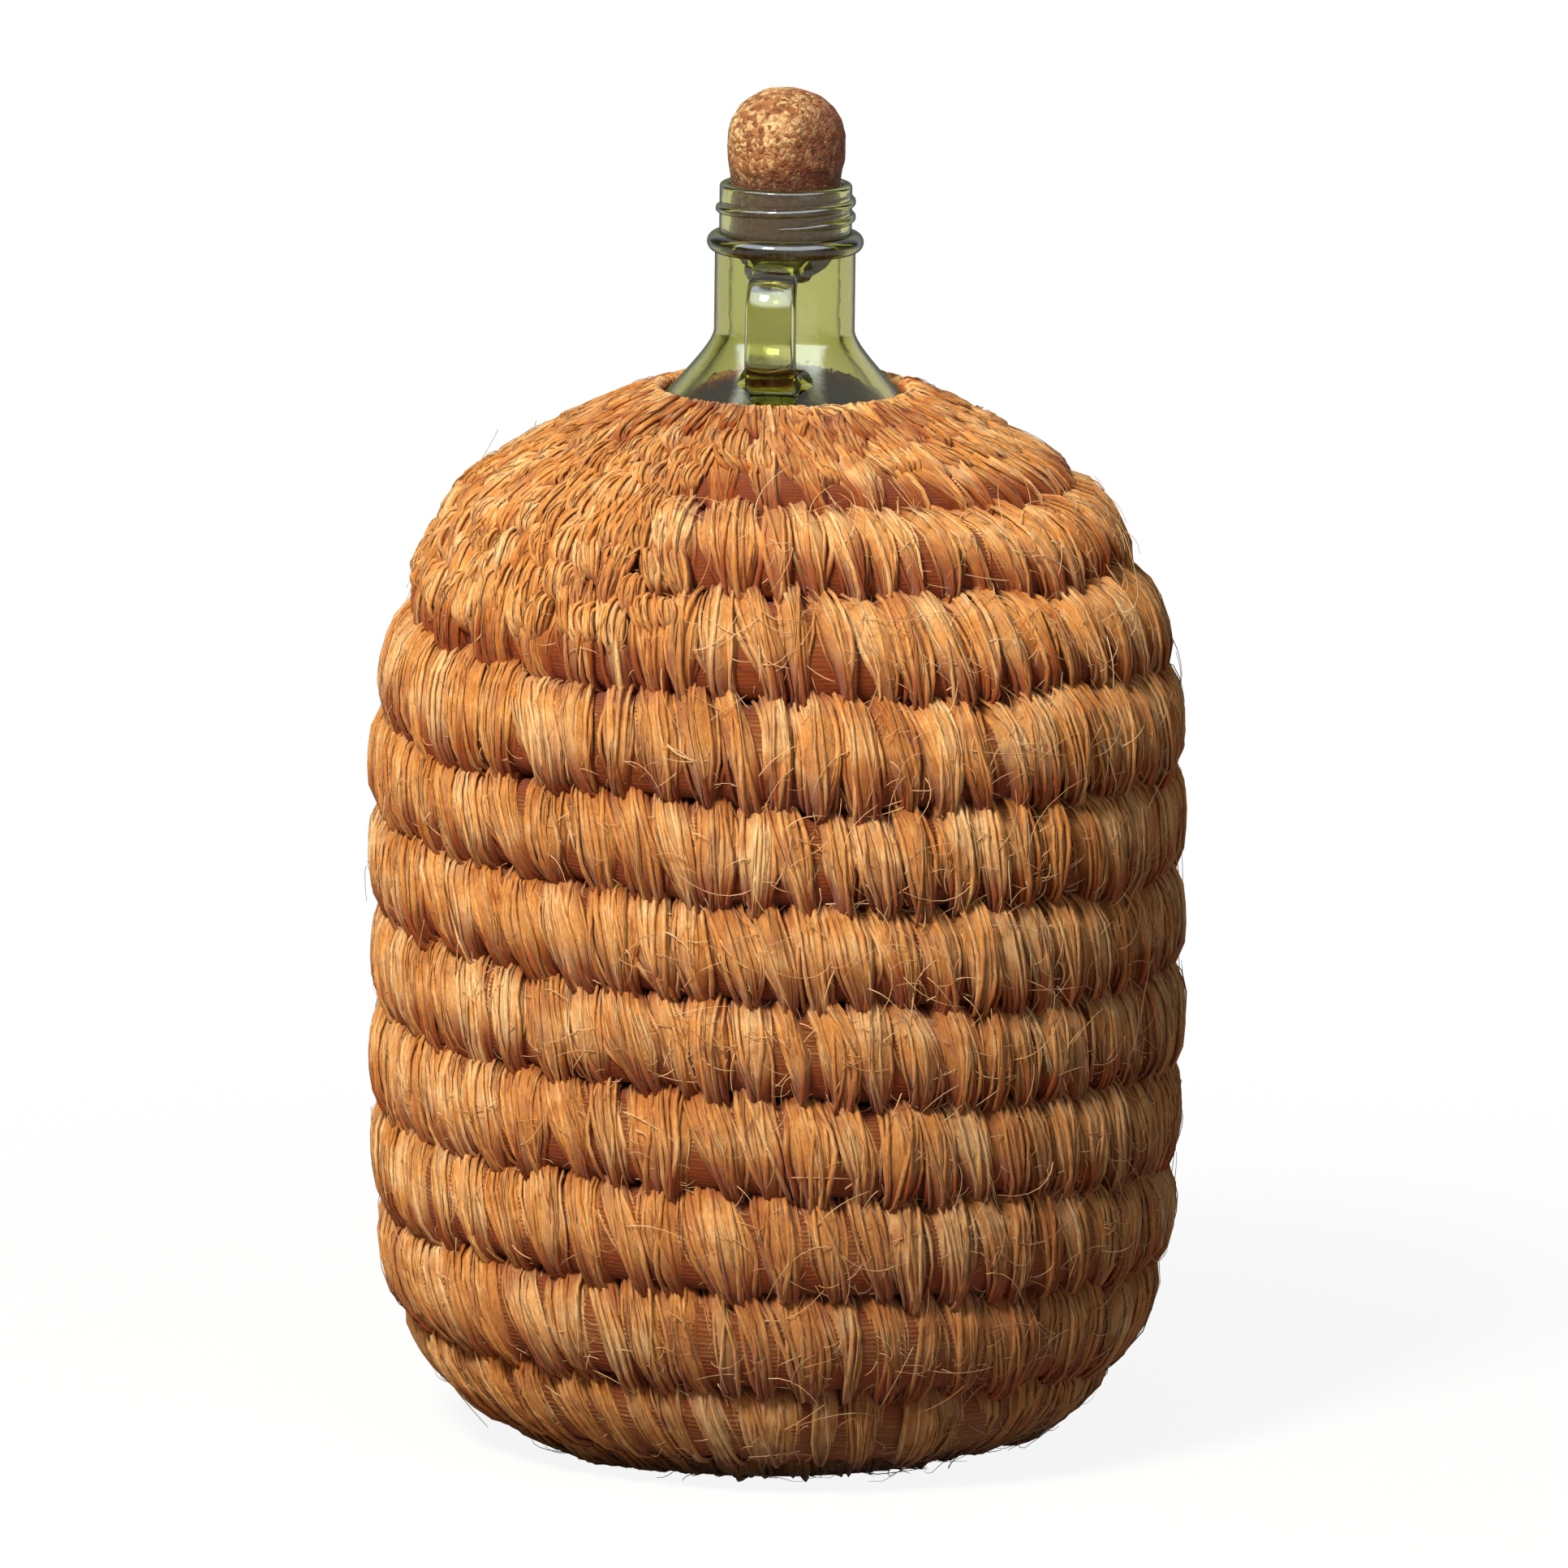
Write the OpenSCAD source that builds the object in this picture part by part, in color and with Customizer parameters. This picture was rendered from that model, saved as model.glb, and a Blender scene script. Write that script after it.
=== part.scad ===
// Five-litre glass jug in a jacket of coiled rope, closed by a domed cork.
// Millimetres, +Z up. The origin is the middle of the jacket's underside, on the surface the jug stands on.
// The finger ring points to -Y.

/* [Glass jug] */
// Outside diameter of the glass body
body_d = 170; // [150:1:190]
// Height of the glass from its base to its lip
glass_h = 324; // [310:1:350]
// Wall thickness of the glass body
wall_t = 3; // [2.5:0.1:4]
// Thickness of the glass base
base_t = 5; // [4:0.5:8]
// Radius of the flat ring that the glass base stands on
base_flat_r = 42; // [34:1:50]
// Height of the rounded heel
heel_h = 72; // [62:1:84]
// Fullness of the heel, where 2 is an ellipse
heel_fullness = 2.8; // [2.2:0.05:3.2]
// Height of the push-up under the base
punt_h = 9; // [4:0.5:14]
// Height above the glass base at which the shoulder starts
shoulder_z = 172; // [160:1:185]
// How far the shoulder keeps going up before it turns in
shoulder_rise = 53; // [40:1:60]
// Outside diameter of the neck
neck_d = 38.4; // [36:0.2:42]
// Length of the straight neck, from the lip down
neck_len = 40.5; // [38:0.5:46]
// How far the shoulder runs in below the straight neck
neck_flare = 11; // [8:0.5:16]
// Diameter of the bore in the neck
bore_d = 30.4; // [28:0.2:31]

/* [Screw finish] */
// Diameter of the finish under its thread
finish_d = 36.2; // [35:0.1:37]
// Height that the thread stands off the finish
thread_rise = 1.1; // [0.8:0.05:1.3]
// Width of the thread where it leaves the finish
thread_w = 2.6; // [2:0.1:3]
// Distance between the turns of the thread
thread_pitch = 4.23; // [4:0.01:4.4]
// Number of turns of the thread
thread_turns = 1.5; // [1:0.25:1.5]
// Distance from the lip to the middle of the thread's upper end
thread_drop = 4; // [3.6:0.1:4.6]
// Radius on the lip's edges
lip_round = 1.1; // [0.8:0.1:1.3]
// Outside diameter of the bead under the thread
bead_d = 42.8; // [42:0.1:44]
// Height of that bead
bead_h = 5.4; // [4.5:0.1:6]
// Distance from the lip to the middle of the bead
bead_drop = 16.2; // [16:0.1:17]

/* [Finger ring] */
// Width of the ring's strap, across the view from the front
ring_w = 15; // [12:0.5:18]
// Thickness of the strap
ring_t = 6; // [5:0.25:7]
// How far the strap's outer face stands off the neck
ring_reach = 21.5; // [20:0.5:24]
// Radius of the bends, on the middle of the strap
ring_bend = 10; // [9:0.5:11]
// Distance from the lip to the middle of the upper arm
ring_drop = 21.5; // [21:0.25:24]
// Distance between the middles of the upper and the lower arm
ring_h = 30; // [27:0.5:32]

/* [Cork] */
// Widest diameter of the cork's head
cork_d = 31.9; // [31:0.1:33]
// Height of the head above the lip
cork_head_h = 26; // [22:0.5:30]
// Length of the plug below the lip
cork_plug_h = 27; // [24:0.5:30]
// Length of the plug's straight part, which fills the bore
cork_grip_h = 14; // [10:0.5:16]
// Gap between the plug and the bore, all round
cork_clearance = 0.05; // [0.02:0.01:0.1]

/* [Rope jacket] */
// Thickness of the rope, square to the glass
rope_depth = 26; // [22:0.5:28]
// Height of a row of rope, along the glass
rope_row = 26.4; // [24:0.1:30]
// Gap left between neighbouring rows
row_gap = 0.5; // [0.45:0.05:1]
// Gap between the rope and the glass
glass_clearance = 0.3; // [0.2:0.05:0.6]
// Thickness and row height of the rope at its two ends, where it runs out
rope_end = 4; // [3:0.5:8]
// Distance before the collar over which the rope thins down
thin_run = 54; // [40:1:80]
// Length of the last length of rope, along the glass from the collar down
collar_run = 44; // [30:1:70]
// Diameter of the glass where the jacket ends at the neck
collar_d = 66; // [60:0.5:80]
// Direction from the middle in which the rope starts under the base, where +X is 0
start_az = 60; // [0:15:345]
// Direction in which the rope's lengths are spliced, where +Y is 90
splice_az = 90; // [45:15:135]

/* [Hidden] */

$fn = 96;

// Shape of the rope's section: its sides lie flat to the next rows over this share of the depth,
// and the half that faces the glass is drawn in, so that rows can turn round the heel and the shoulder.
side_flat = 0.6;
side_draw = 0.82;

// A tenth of the rope is cut away where the jug stands on it.
foot_cut = rope_depth / 10;
rope_half = rope_depth / 2;
row_pitch = rope_row + row_gap;
glass_z = rope_depth - foot_cut + glass_clearance;

body_r = body_d / 2;
neck_r = neck_d / 2;
bore_r = bore_d / 2;
finish_r = finish_d / 2;
lip_z = glass_z + glass_h;
neck_z = lip_z - neck_len;
wall_z = glass_z + shoulder_z;
over = 1;

// Points of the glass's curves
heel_steps = 20;
shoulder_steps = 30;
punt_steps = 6;
lip_steps = 5;

function bezier(a, b, c, d, t) =
    a * pow(1 - t, 3) + 3 * b * t * pow(1 - t, 2) + 3 * c * t * t * (1 - t) + d * pow(t, 3);
function arc(cx, cz, rx, rz, from, to, steps) =
    [for (i = [0:steps]) let (a = from + (to - from) * i / steps) [cx + rx * cos(a), cz + rz * sin(a)]];
function reversed(v) = [for (i = [len(v) - 1:-1:0]) v[i]];

// The heel from the flat base to the wall, for a wall set in by t and a base raised by b
function heel(t, b) = [for (i = [0:heel_steps]) let (a = 90 * i / heel_steps, e = 2 / heel_fullness)
    [base_flat_r + (body_r - t - base_flat_r) * pow(sin(a), e),
     glass_z + b + (heel_h - b) * (1 - pow(cos(a), e))]];

// The shoulder from the wall to the straight neck of radius r, for a wall set in by t
function shoulder(t, r) = [for (i = [0:shoulder_steps]) bezier(
    [body_r - t, wall_z], [body_r - t, wall_z + shoulder_rise - t],
    [r, neck_z - neck_flare - t], [r, neck_z], i / shoulder_steps)];

outside_line = concat(heel(0, 0), shoulder(0, neck_r));
inside_line = concat(heel(wall_t, base_t), shoulder(wall_t, bore_r));

// Radius of the glass's shoulder at height z, and its height at radius r
function shoulder_r(z) = lookup(z, [for (p = shoulder(0, neck_r)) [p.y, p.x]]);
function shoulder_height(r) = lookup(-r, [for (p = shoulder(0, neck_r)) [-p.x, p.y]]);
seam_z = shoulder_height(collar_d / 2);

// The push-up is a shallow arc from the axis to the ring that the glass stands on.
punt_r = base_flat_r - base_t;
punt_arc_r = (punt_r * punt_r + punt_h * punt_h) / (2 * punt_h);
punt_angle = asin(punt_r / punt_arc_r);
function punt(lift) =
    arc(0, glass_z + lift + punt_h - punt_arc_r, punt_arc_r, punt_arc_r, 90, 90 - punt_angle, punt_steps);

// Glass

module glass_outside() {
    polygon(concat(
        punt(0),
        outside_line,
        [[neck_r, lip_z - bead_drop], [finish_r, lip_z - bead_drop]],
        arc(finish_r - lip_round, lip_z - lip_round, lip_round, lip_round, 0, 90, lip_steps),
        [[0, lip_z]]
    ));
    translate([(bead_d - bead_h) / 2, lip_z - bead_drop]) circle(d = bead_h);
}

// The glass is one moulding. It is held as its body and its neck, which meet where the jacket ends.
module glass_between(low, high) {
    rotate_extrude() intersection() {
        glass_outside();
        translate([0, low]) square([body_r + over, high - low]);
    }
}

module glass_inside() {
    polygon(concat(
        punt(base_t),
        inside_line,
        arc(bore_r + lip_round, lip_z - lip_round, lip_round, lip_round, 180, 90, lip_steps),
        [[bore_r + lip_round, lip_z + over], [0, lip_z + over]]
    ));
}

// A closed tube of triangles through rings that all have the same number of points
module tube(rings) {
    sides = len(rings[0]);
    last = (len(rings) - 1) * sides;
    skin = [for (a = [0:sides:last - sides]) for (j = [0:sides - 1]) let (k = (j + 1) % sides, b = a + sides)
        each [[a + j, b + j, a + k], [a + k, b + j, b + k]]];
    caps = [for (j = [1:sides - 2]) each [[0, j, j + 1], [last, last + j + 1, last + j]]];
    polyhedron(points = [for (ring = rings) each ring], faces = concat(skin, caps));
}

// The thread is a ridge that winds down from under the lip and fades at both ends.
thread_step = 10;
thread_count = round(360 * thread_turns / thread_step);
thread_fade = 4;
thread_root = 0.6;
thread_crest = 0.45;

function thread_ring(i) =
    let (
        a = 90 - i * thread_step,
        rise = thread_rise * min(1, (i + 0.5) / thread_fade, (thread_count - i + 0.5) / thread_fade),
        z = lip_z - thread_drop - thread_pitch * i * thread_step / 360,
        w = thread_w / 2
    )
    [for (p = [[-thread_root, -w], [0, -w], [rise, -w * thread_crest], [rise, w * thread_crest], [0, w],
               [-thread_root, w]])
        [(finish_r + p.x) * cos(a), (finish_r + p.x) * sin(a), z + p.y]];

module thread() {
    tube([for (i = [0:thread_count]) thread_ring(i)]);
}

// The finger ring is a flat strap with round edges: an arm, a bend, the grip, a bend and an arm.
ring_top_z = lip_z - ring_drop;
ring_foot_z = ring_top_z - ring_h;
ring_mid = neck_r + ring_reach - ring_t / 2;
ring_turn = ring_mid - ring_bend;

module strap_section() {
    square([ring_w - ring_t, ring_t], center = true);
    for (side = [-1, 1]) translate([side * (ring_w - ring_t) / 2, 0]) circle(d = ring_t);
}

// The arm starts inside the wall of the glass, which has radius r there.
module strap_arm(r, z) {
    translate([0, wall_t - r, z]) rotate([90, 0, 0]) linear_extrude(ring_turn - r + wall_t) strap_section();
}

// A quarter turn from an arm at height z to the grip, which lies below it or above it
module strap_bend(z, below) {
    translate([0, -ring_turn, z]) mirror([0, 0, below ? 0 : 1]) translate([0, 0, -ring_bend])
        rotate([90, 0, -90]) rotate_extrude(angle = 90) translate([ring_bend, 0]) rotate(90) strap_section();
}

module finger_ring() {
    strap_arm(neck_r, ring_top_z);
    strap_bend(ring_top_z, true);
    translate([0, -ring_mid, ring_foot_z + ring_bend]) linear_extrude(ring_h - 2 * ring_bend) strap_section();
    strap_bend(ring_foot_z, false);
    strap_arm(shoulder_r(ring_foot_z), ring_foot_z);
}

module glass_jug() {
    color([0.45, 0.52, 0.25, 0.6]) difference() {
        glass_between(glass_z - over, seam_z);
        rotate_extrude() glass_inside();
    }
}

module glass_neck() {
    color([0.45, 0.52, 0.25, 0.6]) difference() {
        union() {
            glass_between(seam_z, lip_z + over);
            thread();
            finger_ring();
        }
        rotate_extrude() glass_inside();
    }
}

// Cork

plug_r = bore_r - cork_clearance;
cork_r = cork_d / 2;
// The head swells over this height and starts to round off at the next one.
cork_swell_h = 5;
cork_dome_h = 14;
plug_steps = 10;
swell_steps = 6;
dome_steps = 12;

module cork_stopper() {
    dome_z = lip_z + cork_head_h - cork_dome_h;
    grip_z = lip_z - cork_grip_h;
    color([0.72, 0.45, 0.27]) rotate_extrude() polygon(concat(
        arc(0, grip_z, plug_r, cork_plug_h - cork_grip_h, -90, 0, plug_steps),
        [for (i = [0:swell_steps]) let (t = i / swell_steps)
            [plug_r + (cork_r - plug_r) * (1 - cos(180 * t)) / 2, lip_z + cork_swell_h * t]],
        arc(0, dome_z, cork_r, cork_dome_h, 0, 90, dome_steps)
    ));
}

// Rope jacket

// The rope follows the glass's outline. At each point of that, tilt is the angle of the outward normal
// above the horizon, and the rope's middle lies half a rope and a clearance away along it.
guide = concat([[0, glass_z]], outside_line);
guide_last = len(guide) - 1;
guide_tilt = [for (i = [0:guide_last]) let (d = guide[min(i + 1, guide_last)] - guide[max(i - 1, 0)])
    atan2(-d.x, d.y)];
function outward(tilt) = [cos(tilt), sin(tilt)];
guide_mid = [for (i = [0:guide_last]) guide[i] + (rope_half + glass_clearance) * outward(guide_tilt[i])];
guide_way = [for (i = 0, s = 0; i <= guide_last; i = i + 1, s = s + norm(guide_mid[min(i, guide_last)]
    - guide_mid[i - 1])) s];

way_to_r = [for (i = [0:guide_last]) [guide_way[i], guide[i].x]];
way_to_z = [for (i = [0:guide_last]) [guide_way[i], guide[i].y]];
way_to_tilt = [for (i = [0:guide_last]) [guide_way[i], guide_tilt[i]]];
shoulder_first = heel_steps + 2;
collar_way = lookup(-collar_d / 2, [for (i = [shoulder_first:guide_last]) [-guide[i].x, guide_way[i]]]);
heel_way = guide_way[heel_steps + 1];
shoulder_way = guide_way[shoulder_first];

// A turn of rope has this many rings of points, and climbs one row. The rope runs out at both ends:
// its first row grows round the middle of the base, and its last one thins down under the collar.
turn_rings = 24;
ring_step = 360 / turn_rings;
middle_gap = 0.5;
function upper_way(i) = min(middle_gap + rope_end + row_pitch * i / turn_rings, collar_way);
function lower_way(i) = max(middle_gap + rope_end + row_pitch * i / turn_rings - rope_row, middle_gap);
rope_last = floor((collar_way - middle_gap - 2 * rope_end + rope_row) / row_pitch * turn_rings);

// The lengths of rope are spliced where the wall, the shoulder and the collar start, at the nearest ring
// in line with splice_az. The rope runs straight for one ring step on both sides of a splice.
splice_offset = ((start_az - splice_az) / ring_step + 2 * turn_rings) % turn_rings;
function splice_near(way) = splice_offset + turn_rings * round(way / row_pitch - splice_offset / turn_rings);
wall_splice = splice_near(heel_way);
shoulder_splice = splice_near(shoulder_way);
collar_splice = splice_near(collar_way - collar_run);
function off_splice(i) = min([for (splice = [wall_splice, shoulder_splice, collar_splice]) abs(i - splice)]);
function corner_angle(i) = off_splice(i) == 0 ? 0 : off_splice(i) == 1 ? ring_step : ring_step / 2;

function rope_ring(i, section) =
    let (
        row = upper_way(i) - lower_way(i),
        way = (upper_way(i) + lower_way(i)) / 2,
        tilt = lookup(way, way_to_tilt),
        full = min((collar_way - way) / thin_run, 1),
        half = (rope_end + (rope_depth - rope_end) * full) / 2,
        mid = [lookup(way, way_to_r), lookup(way, way_to_z)] + (half + glass_clearance) * outward(tilt),
        az = start_az - i * ring_step
    )
    [for (p = section)
        let (
            q = mid + p.x * half * outward(tilt) + p.y * row / 2 * outward(tilt + 90),
            r = q.x / cos(corner_angle(i))
        )
        [r * cos(az), r * sin(az), q.y]];

rope_section = [[1, 0], [side_flat, 1], [-side_flat, side_draw], [-1, 0], [-side_flat, -side_draw],
    [side_flat, -1]];
section_points = len(rope_section);

// The least gap between rows, measured on points all round the sections of each turn and of the next
edge_points = 4;
gap_section = [for (i = [0:section_points - 1]) for (j = [0:edge_points - 1])
    rope_section[i] + (rope_section[(i + 1) % section_points] - rope_section[i]) * j / edge_points];
gap_rings = [for (i = [0:rope_last]) rope_ring(i, gap_section)];
least_gap = min([for (i = [0:rope_last - turn_rings])
    for (p = gap_rings[i]) for (q = gap_rings[i + turn_rings]) norm(p - q)]);
echo(turns = rope_last / turn_rings, least_gap = least_gap);

module rope(from, to) {
    tube([for (i = [from:to]) rope_ring(i, rope_section)]);
}

module base_coil() {
    color([0.76, 0.52, 0.28]) difference() {
        rope(0, wall_splice);
        translate([0, 0, -rope_depth]) cylinder(r = body_r + rope_depth, h = rope_depth);
    }
}

module wall_coil() {
    color([0.78, 0.54, 0.30]) rope(wall_splice, shoulder_splice);
}

module shoulder_coil() {
    color([0.74, 0.50, 0.27]) rope(shoulder_splice, collar_splice);
}

module collar_coil() {
    color([0.77, 0.53, 0.29]) rope(collar_splice, rope_last);
}

glass_jug();
glass_neck();
cork_stopper();
base_coil();
wall_coil();
shoulder_coil();
collar_coil();
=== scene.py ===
import bisect
import logging
import math
from dataclasses import dataclass, field
from enum import Enum
from typing import Any, Optional, Sequence, Union

import bpy
import numpy as np
from mathutils import Matrix, Vector


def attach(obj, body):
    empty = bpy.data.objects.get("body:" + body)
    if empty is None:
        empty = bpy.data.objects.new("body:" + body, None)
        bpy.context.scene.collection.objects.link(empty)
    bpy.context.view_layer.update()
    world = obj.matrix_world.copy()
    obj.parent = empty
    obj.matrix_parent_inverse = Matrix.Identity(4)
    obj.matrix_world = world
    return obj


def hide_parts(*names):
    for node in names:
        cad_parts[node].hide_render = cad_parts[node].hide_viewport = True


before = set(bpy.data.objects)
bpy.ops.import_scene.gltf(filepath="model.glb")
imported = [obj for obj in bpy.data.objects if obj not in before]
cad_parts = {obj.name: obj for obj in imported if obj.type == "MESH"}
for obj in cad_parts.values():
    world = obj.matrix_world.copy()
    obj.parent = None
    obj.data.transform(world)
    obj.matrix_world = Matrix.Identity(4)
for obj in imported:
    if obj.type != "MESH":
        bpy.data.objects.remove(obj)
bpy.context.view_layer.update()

LOG = logging.getLogger("jug")
MM = 0.001
TURN = 2 * math.pi
MOST_TRIANGLES = 185000
Colour = tuple[float, float, float]
Outline = list[tuple[float, float]]
SocketLike = Union["Socket", float, Sequence[float]]


def srgb(code: str) -> Colour:
    """Turns a six-digit colour into the linear values that a shader takes.

    Args:
        code: The red, green and blue of the colour as it looks, two hexadecimal digits each.

    Returns:
        The three linear values.
    """
    parts = [int(code[i:i + 2], 16) / 255 for i in (0, 2, 4)]
    red, green, blue = [c / 12.92 if c <= 0.04045 else ((c + 0.055) / 1.055) ** 2.4 for c in parts]
    return red, green, blue


def arc(middle: tuple[float, float], size: tuple[float, float], start: float, end: float, steps: int) -> Outline:
    """Gives points on a stretch of an upright ellipse.

    Args:
        middle: The ellipse's middle, as radius and height.
        size: Its half width and its half height.
        start: The angle of the first point, in degrees.
        end: The angle of the last point, in degrees.
        steps: The number of steps between them.

    Returns:
        The points, as radius and height.
    """
    angles = np.radians(np.linspace(start, end, steps + 1))
    return [(middle[0] + size[0] * math.cos(a), middle[1] + size[1] * math.sin(a)) for a in angles]


class Length(Enum):
    """The four lengths of core rope, by the CAD node that each one stands for."""

    BASE = "base_coil"
    WALL = "wall_coil"
    SHOULDER = "shoulder_coil"
    COLLAR = "collar_coil"


class Body(Enum):
    """The bodies that pieces ride on."""

    JUG = "jug"
    CORK = "cork"


class Slot(Enum):
    """The record's material slots."""

    GLASS = "green_glass"
    CORK = "pressed_cork"
    ROPE = "wrapped_rope"


class Socket:
    """An output socket whose operators add Math nodes."""

    def __init__(self, shader: "Shader", output: bpy.types.NodeSocket) -> None:
        """Keeps the node tree and the socket."""
        self.shader = shader
        self.output = output

    def _math(self, operation: str, *values: SocketLike) -> "Socket":
        """Adds one Math node on the values and returns its result."""
        return self.shader.node("ShaderNodeMath", {"operation": operation}, *values)

    def __add__(self, other: SocketLike) -> "Socket":
        """Adds."""
        return self._math("ADD", self, other)

    __radd__ = __add__

    def __mul__(self, other: SocketLike) -> "Socket":
        """Multiplies."""
        return self._math("MULTIPLY", self, other)

    __rmul__ = __mul__

    def __sub__(self, other: SocketLike) -> "Socket":
        """Subtracts."""
        return self._math("SUBTRACT", self, other)

    def __rsub__(self, other: SocketLike) -> "Socket":
        """Subtracts from a number."""
        return self._math("SUBTRACT", other, self)

    def sine(self) -> "Socket":
        """Takes the sine."""
        return self._math("SINE", self)

    def band(self, low: float, high: float) -> "Socket":
        """Maps low to high onto 0 to 1, clamped and eased.

        Args:
            low: The value that becomes 0.
            high: The value that becomes 1.

        Returns:
            The mapped value.
        """
        return self.shader.node(
            "ShaderNodeMapRange", {"interpolation_type": "SMOOTHSTEP"}, Value=self,
            **{"From Min": low, "From Max": high})


class Shader:
    """A node tree under construction."""

    def __init__(self, owner: Union[bpy.types.Material, bpy.types.World], output: str) -> None:
        """Empties the owner's node tree and adds its output node."""
        self.owner = owner
        owner.use_nodes = True
        self.tree = owner.node_tree
        self.tree.nodes.clear()
        self.output = self.tree.nodes.new(output)

    @classmethod
    def material(cls, name: str) -> "Shader":
        """Starts a material."""
        return cls(bpy.data.materials.new(name), "ShaderNodeOutputMaterial")

    @classmethod
    def world(cls, name: str) -> "Shader":
        """Starts a world."""
        return cls(bpy.data.worlds.new(name), "ShaderNodeOutputWorld")

    def _feed(self, target: bpy.types.NodeSocket, value: SocketLike) -> None:
        """Links a socket to the target, or sets the target's own value."""
        if isinstance(value, Socket):
            self.tree.links.new(value.output, target)
        elif target.type == "RGBA" and not isinstance(value, (int, float)):
            target.default_value = (*value, 1.0)
        else:
            target.default_value = value

    def node(self, kind: str, settings: Optional[dict[str, Any]] = None, *inputs: SocketLike,
             out: Union[int, str] = 0, **named: SocketLike) -> Socket:
        """Adds a node.

        Args:
            kind: The node's type.
            settings: Its settings, which are set before its inputs. A list of stops sets a ramp.
            inputs: The values or links of its sockets, in order.
            out: The output to return.
            named: The values or links of its sockets, by name.

        Returns:
            The chosen output.
        """
        made = self.tree.nodes.new(kind)
        for key, value in (settings or {}).items():
            if key == "stops":
                self._ramp(made, value)
            else:
                setattr(made, key, value)
        for target, value in zip(made.inputs, inputs):
            self._feed(target, value)
        for key, value in named.items():
            self._feed(made.inputs[key], value)
        return Socket(self, made.outputs[out])

    @staticmethod
    def _ramp(made: bpy.types.Node, stops: Sequence[tuple[float, Colour]]) -> None:
        """Sets a colour ramp's stops."""
        elements = made.color_ramp.elements
        while len(elements) < len(stops):
            elements.new(0.5)
        for element, (place, colour) in zip(elements, stops):
            element.position = place
            element.color = (*colour, 1.0)

    def ramp(self, value: Socket, *stops: tuple[float, Colour]) -> Socket:
        """Colours a value by a ramp with these stops."""
        return self.node("ShaderNodeValToRGB", {"stops": stops}, value)

    def mix(self, factor: SocketLike, first: SocketLike, second: SocketLike) -> Socket:
        """Mixes two colours.

        Args:
            factor: 0 gives the first and 1 the second.
            first: The first colour.
            second: The second colour.

        Returns:
            The mixed colour.
        """
        made = self.tree.nodes.new("ShaderNodeMix")
        made.data_type = "RGBA"
        for slot, value in ((0, factor), (6, first), (7, second)):
            self._feed(made.inputs[slot], value)
        return Socket(self, made.outputs[2])

    def split(self, vector: Socket) -> tuple[Socket, Socket, Socket]:
        """Splits a vector into its three parts."""
        made = self.tree.nodes.new("ShaderNodeSeparateXYZ")
        self._feed(made.inputs[0], vector)
        return Socket(self, made.outputs[0]), Socket(self, made.outputs[1]), Socket(self, made.outputs[2])

    def attribute(self, name: str) -> Socket:
        """Gives a number that the mesh holds."""
        return self.node("ShaderNodeAttribute", {"attribute_name": name}, out="Fac")

    def place(self) -> Socket:
        """Gives the place on the object."""
        return self.node("ShaderNodeTexCoord", out="Object")

    def noise(self, scale: float, detail: float = 3, where: Optional[Socket] = None) -> Socket:
        """Adds noise.

        Args:
            scale: Its frequency, per metre unless where says otherwise.
            detail: Its octaves.
            where: Its coordinates, if they aren't the place on the object.

        Returns:
            The noise, from 0 to 1.
        """
        return self.node("ShaderNodeTexNoise", None, Vector=where or self.place(), Scale=scale, Detail=detail)

    def bump(self, height: Socket, distance: float, strength: float = 1.0) -> Socket:
        """Turns a height into a normal.

        Args:
            height: The height, from 0 to 1.
            distance: How far 1 stands off the surface, in metres.
            strength: How much of it shows.

        Returns:
            The normal.
        """
        return self.node("ShaderNodeBump", None, Height=height, Distance=distance, Strength=strength)

    def principled(self, **values: SocketLike) -> Socket:
        """Adds the surface, with underscores for the spaces in its sockets' names.

        Args:
            values: The surface's values or links.

        Returns:
            The surface.
        """
        names = {key.replace("_", " "): value for key, value in values.items()}
        return self.node("ShaderNodeBsdfPrincipled", None, **names)

    def finish(self, surface: Socket, volume: Optional[Socket] = None) -> Union[bpy.types.Material, bpy.types.World]:
        """Links the surface, and the inside where there is one, to the output and returns the owner."""
        self.tree.links.new(surface.output, self.output.inputs["Surface"])
        if volume:
            self.tree.links.new(volume.output, self.output.inputs["Volume"])
        return self.owner


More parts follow.
